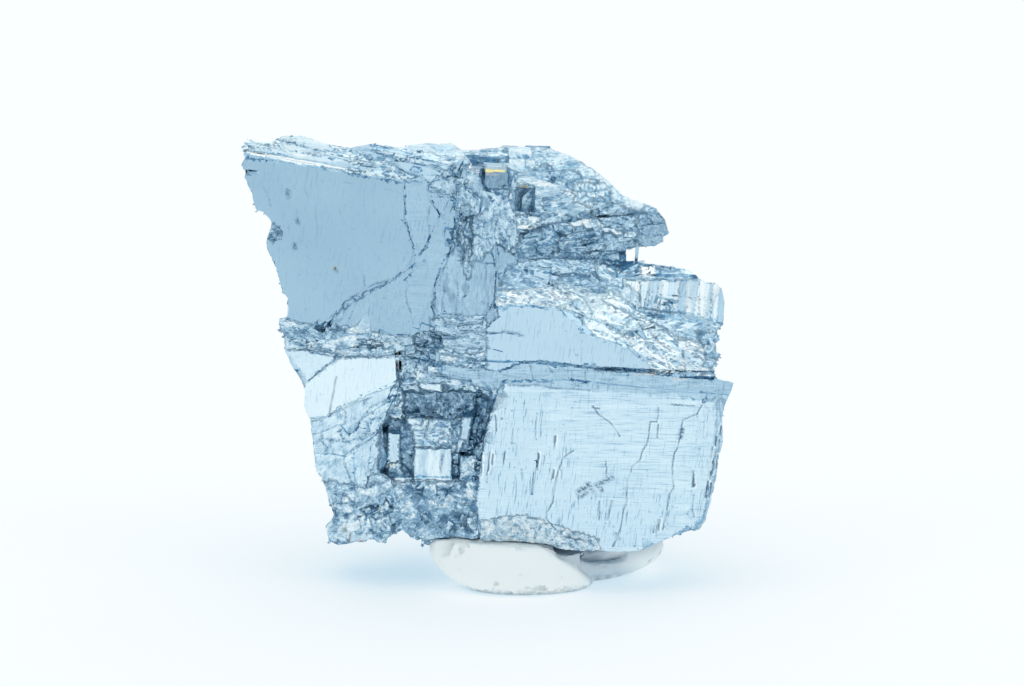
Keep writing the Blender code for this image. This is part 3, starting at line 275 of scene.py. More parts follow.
# What lies outside all surfaces
broken = {"tone": 0.85, "grain": 0.12, "streak": 1, "size": (1.2, 0.8, 0), "lift": 0.25, "blocks": 3,
          "contrast": 0.15}
surfaces = {
    "noseBack": {
        "tone": 1.28, "grain": 0.5, "size": (0.8, 0.4, -20), "drop": 0.12, "mesh": 0.35,
        "edge": [(-2.9, 17.6), (0.7, 18.1), (4.8, 17.6), (8, 15.6), (10.3, 13.8), (12.6, 12.6),
                 (11.7, 12), (9.1, 12.6), (8, 14.7), (5.8, 15.6), (3, 16.2), (0.7, 15.6), (-0.6, 16.3)]},
    "nose": {
        "tone": 1.1, "grain": 0.65, "size": (1, 0.3, 4), "lift": 0.08, "contrast": 0.28, "joints": 0.1,
        "drop": 0.18, "terraces": 4, "levels": 5, "mesh": 0.295,
        "edge": [(0, 15.6), (3, 16.2), (5.8, 15.6), (8, 14.7), (9.1, 12.6), (11.7, 12), (13.5, 12),
                 (14.6, 10.8), (14.4, 9.2), (11.7, 8.3), (10.8, 7.4), (8, 7.4), (3, 7.4), (0.5, 7.8),
                 (0.4, 11.8), (2, 12.3)]},
    "noseBody": {
        "tone": 0.83, "grain": 0.8, "size": (0.5, 0.25, 18), "lift": 0.08, "joints": 0.15, "drop": 0.15,
        "terraces": 4, "levels": 5, "mesh": 0.295,
        "edge": [(0.7, 10.1), (4.4, 11.1), (8, 10.3), (11.7, 9.4), (10.8, 7.4), (8, 7), (3, 7.4),
                 (0.5, 7.8)]},
    "noseRibs": {
        "tone": 1.24, "grain": 0.5, "size": (1.5, 0.22, 82), "contrast": 0.4, "drop": 0.1, "terraces": 2,
        "levels": 3, "mesh": 0.285,
        "edge": [(5.5, 14.4), (7.1, 14.6), (8.7, 14.5), (9.2, 13.3), (8.4, 12.2), (6.9, 12.5),
                 (5.7, 12.9)]},
    "noseShade": {
        "tone": 0.88, "grain": 0.7, "size": (0.6, 0.3, 20), "contrast": 0.3, "drop": 0.18, "mesh": 0.295,
        "edge": [(7.9, 13.3), (10.1, 12.6), (11.7, 11.2), (10.6, 10.1), (8.6, 10.7), (7.1, 11.9)]},
    "noseTip": {
        "tone": 0.74, "grain": 0.7, "size": (0.6, 0.2, -35), "contrast": 0.3, "drop": 0.1, "mesh": 0.305,
        "edge": [(11.7, 11.9), (13.5, 12), (14.6, 10.8), (14.4, 9.2), (12.6, 8.5), (11.2, 9.4)]},
    "brow": {
        "tone": 1.17, "grain": 0.32, "size": (2.4, 0.4, -8), "lift": 0.05, "contrast": 0.14,
        "joints": 0.08, "drop": 0.22, "mesh": 0.305,
        "edge": [(-25, 19.5), (-2.9, 19.5), (-3.8, 17.5), (-4.8, 16.3), (-6.1, 15.7), (-8, 15.3),
                 (-10.2, 14.9), (-14.8, 15.5), (-24.2, 17.5), (-25, 17.1)]},
    "browTip": {
        "tone": 1.4, "grain": 0.15, "size": (1.2, 0.4, -8), "contrast": 0.1, "mesh": 0.305,
        "edge": [(-25.2, 18.9), (-22.9, 19.1), (-21.2, 18.7), (-20.8, 17.7), (-22.9, 17.8), (-24.3, 17.6),
                 (-25.2, 17.8)]},
    "browTile": {
        "tone": 0.93, "grain": 0.1, "wear": 0.3, "crisp": 0.25,
        "edge": [(-11.2, 16.7), (-8.4, 16.5), (-6, 15.9), (-6.2, 15.2), (-9.1, 15.4), (-10.6, 15.9)]},
    # painted highlight: the glint along the top bevel is near-white metal, brought flat to one depth
    "bevelGlint": {
        "tone": 1.5, "mesh": 0.16, "crisp": 0.12, "ruled": 1, "level": -8.15,
        "edge": [(-24.31, 17.59), (-23.03, 17.46), (-20.84, 17.07), (-19.38, 16.82), (-18.28, 16.6),
                 (-16.27, 16.18), (-14.44, 15.81), (-13.25, 15.58), (-14.44, 15.7), (-16.27, 16),
                 (-18.1, 16.23), (-19.38, 16.36), (-20.84, 16.64), (-23.03, 17.06), (-24.31, 17.33)]},
    "mirrorPlate": {
        "tone": 0.775, "grain": 0.01, "wear": 0.2, "crisp": 0.22,
        "edge": [(-24.3, 17), (-19.4, 16.3), (-14.8, 15.4), (-10.2, 14.9), (-9.9, 14), (-9.9, 11.7),
                 (-9.4, 9.9), (-9, 8.5), (-9, 7.4), (-10.7, 5.9), (-13, 4.8), (-15.3, 3.7), (-16.5, 2.1),
                 (-17.1, 1.4), (-19.4, 1.9), (-20.6, 2.4), (-20.5, 4.2), (-21.1, 4.8), (-21.6, 6.9),
                 (-22.4, 8.5), (-22.7, 9.4), (-21.9, 10.8), (-22.8, 12), (-23.5, 12.3), (-24, 14),
                 (-24.6, 15.1), (-24.9, 16.7)]},
    "shellNeck": {
        "tone": 0.79, "grain": 0.05, "streak": 0.2, "wear": 0.4, "crisp": 0.27,
        "edge": [(-10.2, 14.9), (-7.7, 14.5), (-7.1, 12.8), (-7.2, 9.4), (-8.4, 7.4), (-9.8, 6.1),
                 (-9.9, 7.4), (-9, 8.5), (-9.4, 9.9), (-9.9, 11.7), (-9.9, 14)]},
    "leftBite": {
        "tone": 0.7, "grain": 0.8, "size": (0.35, 0.25, 0), "lift": 0.15, "mesh": 0.27,
        "edge": [(-22.5, 10.7), (-21.8, 10.9), (-21.1, 10.3), (-21.1, 9.4), (-22.5, 9.4)]},
    "shellPlate": {
        "tone": 0.78, "grain": 0.05, "wear": 0.4,
        "edge": [(-9.9, 14.7), (-7.9, 14.2), (-7.4, 12.8), (-7.5, 9.4), (-8.8, 7.8), (-10.7, 5.8),
                 (-13, 4.6), (-14.8, 3.5), (-15.7, 2.1), (-16.6, 1.1), (-10.2, 0.6), (-7.5, 1.1),
                 (-7.1, 2.3), (-7.4, 3.9), (-6.2, 7), (-5.5, 9.4), (-5, 11.7), (-6.1, 11.4), (-7.2, 12.5),
                 (-7.7, 14.2)]},
    "fan": {
        "tone": 0.79, "grain": 0.05, "streak": 0.35, "wear": 0.2,
        "edge": [(-7.5, 9.8), (-5.7, 9.4), (-6, 7.4), (-6.9, 5.5), (-7.5, 3.9), (-9.1, 2.3), (-9.9, 3.9),
                 (-9.3, 5.8), (-8.6, 7.4)]},
    "arcTile": {
        "tone": 0.78, "grain": 0.06, "wear": 0.4,
        "edge": [(-7.4, 14), (-6.6, 13.4), (-4.8, 13.1), (-4.7, 11.6), (-6, 11.3), (-7.1, 12.4)]},
    "columnTop": {
        "tone": 0.88, "grain": 0.55, "size": (0.22, 0.4, 0), "lift": 0.1, "contrast": 0.22, "drop": 0.12,
        "terraces": 4, "mesh": 0.285,
        "edge": [(-6.1, 15.8), (-3.8, 17.6), (-2.5, 16.3), (-0.2, 16), (0, 13.5), (0.5, 10.3), (0.5, 8),
                 (-1.1, 9), (-2.9, 7.4), (-4.6, 7.4), (-5.1, 10.3), (-4.9, 13.1), (-6.6, 13.8),
                 (-7.7, 14.4)]},
    "columnFoot": {
        "tone": 0.77, "grain": 0.25, "size": (0.4, 1.4, 0), "wear": 0.5, "drop": 0.06, "mesh": 0.35,
        "edge": [(-5.5, 9.4), (-4.6, 7.4), (-2.9, 7.4), (-1.4, 9.1), (0.5, 7.9), (0.5, 6.2), (-1.4, 4.5),
                 (-1.7, 3.4), (-2.7, 2.3), (-4.2, 2.4), (-6.6, 2.3), (-7.3, 3.7), (-6.9, 5.3),
                 (-6, 7.4)]},
    "columnCleft": {
        "tone": 0.8, "grain": 0.8, "size": (0.35, 0.25, 0), "lift": 0.14, "mesh": 0.26,
        "edge": [(-4.6, 12.6), (-3.8, 12.6), (-3.7, 9.4), (-3.7, 6.7), (-4, 5.4), (-4.6, 6.7),
                 (-4.4, 9.4), (-4.8, 11.7)]},
    "darkTop": {
        "tone": 0.6, "grain": 0.5, "size": (0.3, 0.5, 0), "mesh": 0.12, "ruled": 1,
        "edge": [(-2.7, 16.1), (-0.3, 16.1), (-0.3, 14.1), (-2.7, 14.1)]},
    "darkVoid": {
        "tone": 0.85, "grain": 0.9, "size": (0.4, 0.25, 0),
        "edge": [(0.3, 14.4), (1.3, 14.5), (2, 14.4), (2, 12.3), (1.5, 11.8), (0.4, 12.3)]},
    "slope": {
        "tone": 1.44, "grain": 0.32, "size": (1, 0.24, -32), "lift": 0.07, "joints": 0.1, "drop": 0.16,
        "mesh": 0.305,
        "edge": [(0.5, 7.4), (3, 7.5), (8, 7), (10.3, 4.8), (12.6, 2.7), (14.3, 1), (17.2, -0.2),
                 (18.6, -0.9), (18.6, -2.9), (12.9, -2.7), (11.7, -1.3), (10.3, -0.3), (8.2, 0.5),
                 (6.5, 1.8), (5.8, 2.6), (4.4, 3.1), (0.7, 3.6), (-1.4, 3.3), (-1.4, 4.8), (-0.6, 5.8)]},
    "slopeTop": {
        "tone": 1.02, "grain": 0.5, "size": (0.6, 0.3, -25), "contrast": 0.25, "joints": 0.15,
        "drop": 0.14, "mesh": 0.305,
        "edge": [(-1.5, 4.7), (-0.4, 6.9), (0.7, 7.5), (3, 7.8), (8, 7.4), (10.1, 5.3), (8.4, 4.6),
                 (6.2, 4.8), (4.4, 5.3), (2.6, 5.1), (0.5, 4.8)]},
    "brightPlate": {
        "tone": 0.94, "grain": 0.03, "wear": 0.4, "crisp": 0.25,
        "edge": [(-2.7, 1), (-1.4, 2.4), (-1.4, 3.4), (0.7, 3.6), (3, 3.4), (4.4, 3.1), (5.8, 2.6),
                 (6.5, 1.8), (8.2, 0.5), (10.3, -0.3), (11.7, -1.3), (12.9, -2.6), (11.7, -2.6),
                 (8, -2.1), (1.2, -1.6), (-1.1, -2.5), (-2.4, -2.6), (-3.1, -0.6)]},
    "greySlope": {
        "tone": 1.2, "grain": 0.35, "size": (0.9, 0.4, -12), "drop": 0.1, "mesh": 0.32,
        "edge": [(7.7, 7.4), (11.7, 5.9), (11.7, 3.2), (16.3, 2.4), (19.2, 2.2), (19.2, 1), (18.3, -0.3),
                 (17.2, -0.2), (14.3, 1), (12.2, 2.3), (9.9, 4.3), (8, 5.3)]},
    "ribTop": {
        "tone": 0.98, "grain": 0.5, "size": (0.8, 0.4, -8), "lift": 0.12, "contrast": 0.3, "mesh": 0.27,
        "edge": [(11.7, 7.4), (14.6, 7.2), (16.3, 6.9), (17.5, 5.8), (13.5, 5.7), (11.7, 5.8)]},
    "ribBlock": {
        "tone": 1.13, "grain": 0.2, "size": (0.5, 12, -6), "lift": 0.1, "blocks": 1.2, "contrast": 0.35,
        "mesh": 0.285, "level": -5.05,
        "edge": [(10.8, 5.7), (17.2, 5.8), (19.2, 5.2), (19.7, 3.7), (19.4, 1.6), (17.2, 2.3),
                 (16.3, 2.6), (11.7, 3.2), (11.7, 4.4), (10.1, 5.3)]},
    "teeth": {
        "tone": 0.95, "grain": 0.7, "size": (0.4, 0.3, 0), "lift": 0.2, "mesh": 0.26,
        "edge": [(16.6, 1), (19.2, 1.2), (19.2, 0.1), (18.3, -0.5), (19.2, -0.9), (19, -1.6),
                 (18.5, -2.1), (18.6, -3), (17.5, -2.1), (17.7, -0.8)]},
    "seam": {
        "tone": 1.03, "grain": 0.75, "size": (0.6, 0.25, -4), "lift": 0.08, "contrast": 0.3,
        "joints": 0.25, "drop": 0.18, "terraces": 4, "mesh": 0.285,
        "edge": [(-21.6, 2.5), (-19.4, 1.9), (-16.8, 1.2), (-15.3, 1.6), (-10.2, 0.6), (-7.3, 1.2),
                 (-6.6, 2.3), (-2.6, 2.3), (-2.4, -2.6), (-6.6, -1.9), (-6.6, -0.8), (-10.2, -1.1),
                 (-15.3, -1.6), (-19.4, -0.8), (-20.8, -0.6)]},
    "seamSteps": {
        "tone": 0.88, "grain": 0.75, "size": (0.5, 0.2, -3), "contrast": 0.35, "joints": 0.5, "drop": 0.1,
        "mesh": 0.285,
        "edge": [(-7.5, 2.3), (-2.3, 2.5), (-2.3, -0.8), (-4.6, -1.2), (-6.6, -0.6), (-7.4, -0.1)]},
    # partly painted shade: darker metal for the shade in the slots
    "slotCluster": {
        "tone": 0.74, "grain": 0.9, "size": (0.35, 0.3, 0), "lift": 0.2, "mesh": 0.24,
        "edge": [(-9.1, 0.6), (-8.4, 1.1), (-6.5, 1), (-6.3, -0.4), (-7.3, -1), (-8.8, -0.7)]},
    "leftCorner": {
        "tone": 1.12, "grain": 0.15, "wear": 0.3, "crisp": 0.25,
        "edge": [(-20.8, -0.6), (-16.1, -1), (-16.5, -1.8), (-17.7, -2.7), (-18.8, -3.5), (-19.7, -2.1)]},
    "leftFace": {
        "tone": 1.24, "grain": 0.06, "wear": 0.35, "crisp": 0.25,
        "edge": [(-15.7, -1.4), (-10.2, -1.1), (-10.2, -3), (-10.7, -3.9), (-13.2, -4.7), (-15.3, -5.7),
                 (-16.8, -6.6), (-17.7, -7), (-18.6, -7), (-19.2, -5.7), (-19.1, -4.1), (-18.7, -3.5),
                 (-17.5, -2.7), (-16.4, -1.9)]},
    "ledges": {
        "tone": 1.08, "grain": 0.4, "size": (1, 0.4, 35), "wear": 0.6, "contrast": 0.3, "drop": 0.18,
        "terraces": 2.5, "levels": 5, "mesh": 0.295,
        "edge": [(-18.6, -7), (-16.8, -6.6), (-15.3, -5.7), (-13.2, -4.7), (-10.5, -3.9), (-10.1, -5),
                 (-11.3, -6.6), (-12.1, -8), (-12.2, -10.2), (-13, -12.3), (-13.5, -14.4), (-16.5, -14.5),
                 (-17.4, -12.5), (-18.1, -11.8), (-18.5, -8.9)]},
    "granular": {
        "tone": 0.9, "grain": 1, "size": (0.4, 0.32, 20), "lift": 0.2, "contrast": 0.45, "joints": 0.25,
        "mesh": 0.295,
        "edge": [(-17.4, -12.5), (-13.5, -13.3), (-12.8, -12), (-10.2, -12.5), (-2.9, -12.7),
                 (-2.7, -15.4), (-1.1, -16), (-1.1, -18.5), (-5.5, -18), (-6.6, -19.5), (-8, -19.5),
                 (-8.4, -18), (-10.1, -17.3), (-12.1, -18.5), (-15.3, -19.1), (-17, -18.2),
                 (-17.2, -16.7), (-16.5, -15.6)]},
    "bigFace": {
        "tone": 1.03, "grain": 0.04, "streak": 1, "wear": 0.4, "crisp": 0.25,
        "edge": [(-0.4, -3.7), (7.1, -4.3), (13.5, -4.8), (17.4, -5.2), (17.2, -8.9), (17, -14.4),
                 (16.6, -16.5), (14.3, -17.8), (12.2, -18.9), (9.9, -19.5), (8, -19), (4.4, -18.8),
                 (0.7, -18.1), (-2.9, -17.8), (-3.3, -14.4), (-2.9, -11.6), (-2.5, -8.9), (-2, -6.6),
                 (-1.3, -5)]},
    "faceWorn": {
        "tone": 1.04, "grain": 0.08, "size": (0.3, 1.5, 0), "streak": 0.3, "wear": 1, "mesh": 1.2,
        "edge": [(-1.1, -4.5), (0.7, -4.1), (2.6, -4.8), (3, -7), (5.3, -8.4), (5.8, -11.6), (8, -14.4),
                 (11.7, -14.8), (14.4, -13.4), (15.4, -16.2), (12.6, -18.5), (8, -18.7), (3, -18.5),
                 (-1.8, -16.2), (-2.6, -12.5), (-2.2, -8), (-1.5, -5.7)]},
    "faceEdge": {
        "tone": 0.82, "grain": 0.5, "size": (0.2, 1.1, 4), "streak": 0.6, "wear": 0.8, "contrast": 0.35,
        "mesh": 0.32,
        "edge": [(17.5, -5.2), (20.4, -4.8), (19.7, -7), (19.6, -8.9), (19, -12.5), (17.7, -16.5),
                 (16.6, -17.3), (17.2, -15.7), (17.7, -13.4), (18, -11.6), (18.3, -9.8), (18.5, -8.5),
                 (18.5, -7.4), (18.1, -6.3)]},
    "faceBevel": {
        "tone": 1.03, "grain": 0.15, "size": (0.3, 1.2, 4), "streak": 0.6, "wear": 0.8, "mesh": 0.4,
        "level": -10.47,
        "edge": [(17, -5.5), (18.6, -5.4), (18.7, -8), (18.4, -11.6), (17.5, -15.8), (16.7, -17.1),
                 (16.1, -16.7), (16.6, -13.4), (16.9, -8.9)]},
    "faceFoot": {
        "tone": 1.18, "grain": 1.5, "size": (0.3, 0.25, 0), "lift": 0.1, "contrast": 0.3, "joints": 0.35,
        "mesh": 0.285, "crisp": 0.25,
        "edge": [(-2.9, -16.2), (0.7, -15.6), (4.4, -16.7), (8, -18), (8, -19.5), (4.4, -19.1),
                 (-2.9, -18.2)]},
    "pocket": {
        "tone": 0.92, "grain": 0.85, "size": (0.5, 0.35, 0), "lift": 0.16, "contrast": 0.35,
        "joints": 0.25, "mesh": 0.285,
        "edge": [(-10.2, -1.1), (-6.6, -1.9), (-1.1, -2.7), (-0.4, -3.7), (-1.3, -5.2), (-2.2, -7.5),
                 (-2.9, -9.8), (-2.9, -12.7), (-10.2, -12.7), (-12.1, -12), (-12.2, -8.9), (-11.3, -6.9),
                 (-10.1, -5), (-10.4, -3)]},
    # painted shade: darker metal for the shade under the pocket's overhang
    "pocketBand": {
        "tone": 0.64, "grain": 0.9, "size": (0.2, 0.25, 0), "lift": 0.16, "contrast": 0.35, "joints": 0.2,
        "mesh": 0.285,
        "edge": [(-9.9, -4.7), (-6.6, -4.3), (-2.2, -4.7), (-2.2, -6.5), (-5.7, -6.9), (-9.9, -6.5)]},
    "pocketStrip": {
        "tone": 1.2, "grain": 0.3, "size": (0.8, 0.2, 0),
        "edge": [(-8.4, -3.7), (-6, -3.7), (-5.9, -4.4), (-8.4, -4.4)]},
    "shelf": {
        "tone": 1.2, "grain": 0.5, "size": (0.8, 0.3, 0), "lift": 0.1, "mesh": 0.285,
        "edge": [(-9.9, -6.9), (-5.5, -6.9), (-5.3, -9.4), (-8.8, -9.6), (-9.9, -8.1)]},
    # painted shade: darker metal for the shade in the recess round the post
    "postFrame": {
        "tone": 0.66, "grain": 0.8, "lift": 0.1, "mesh": 0.27,
        "edge": [(-11.9, -7.6), (-11, -6.9), (-9.7, -7), (-9, -8.5), (-9, -11.8), (-10.1, -12),
                 (-10.2, -8.3), (-11.3, -8.3), (-11.5, -12), (-12.2, -11.6)]},
    "post": {
        "tone": 1, "grain": 0.25, "size": (0.3, 0.8, 0), "crisp": 0.25,
        "edge": [(-11.3, -8.2), (-10.2, -8.2), (-10.2, -10.7), (-11.5, -10.9)]},
    "window": {
        "tone": 1.1, "grain": 0.25, "size": (0.25, 1.5, 0), "lift": 0.03, "joints": 0.15, "mesh": 0.32,
        "crisp": 0.25,
        "edge": [(-9, -9.6), (-5.5, -9.6), (-5.5, -12.5), (-9, -12.5)]},
    "darkSquare": {
        "tone": 0.75, "grain": 0.8, "size": (0.25, 0.25, 0),
        "edge": [(-5.5, -11.1), (-4.8, -11.2), (-4.9, -12.3), (-5.6, -12.3)]},
    # painted shade: darker metal for the shade in the slit beside the pocket
    "darkDiagonal": {
        "tone": 0.6, "grain": 0.9, "size": (0.25, 0.4, 15), "lift": 0.2, "contrast": 0.4, "mesh": 0.27,
        "edge": [(-3.3, -5), (-2.1, -5.2), (-2.3, -6.9), (-2.9, -8.9), (-4, -10.3), (-4.9, -10),
                 (-4.2, -8.9), (-3.5, -7)]},
    "bar": {
        "tone": 0.95, "grain": 0.4, "size": (0.3, 0.8, 0), "crisp": 0.25,
        "edge": [(-4.6, -6.7), (-3.7, -6.7), (-4, -8.9), (-4.7, -8.9)]},
    "faceStrip": {
        "tone": 0.82, "grain": 0.2, "size": (1.2, 0.3, 0), "streak": 0.7, "wear": 0.7,
        "edge": [(-7.5, -1.7), (-1.1, -2.6), (1.2, -1.7), (6.7, -2.1), (11.7, -2.6), (16.3, -3.2),
                 (20.4, -3.4), (20.2, -4.5), (19.6, -5.3), (13.5, -4.9), (7.1, -4.4), (-0.4, -3.8),
                 (-2, -4.5), (-6.6, -2.7)]},
    # painted light: the insides of these slots and gaps are near-white metal, so that they don't go black
    "leftSlot": {
        "tone": 1.5, "inside": 1,
        "edge": [(-24.9, 16.7), (-22.5, 16.7), (-22.5, 14.7), (-24.9, 14.7)]},
    "slit": {
        "tone": 1.5, "inside": 1,
        "edge": [(-11.2, -0.2), (-9.3, -0.2), (-9.3, -3.2), (-11.2, -3.2)]},
    "groove": {
        "tone": 1.5, "inside": 1,
        "edge": [(6.7, -1.1), (19, -1.6), (19, -3.6), (6.7, -3)]},
    "noseCrack": {
        "tone": 1.4, "inside": 1,
        "edge": [(3.9, 13.3), (11.7, 12.6), (11.7, 10.8), (3.9, 10.8)]},
    "browGap": {
        "tone": 1.4, "inside": 1,
        "edge": [(-5.8, 16.9), (-3.8, 16.9), (-3.8, 14.7), (-5.8, 14.7)]},
}
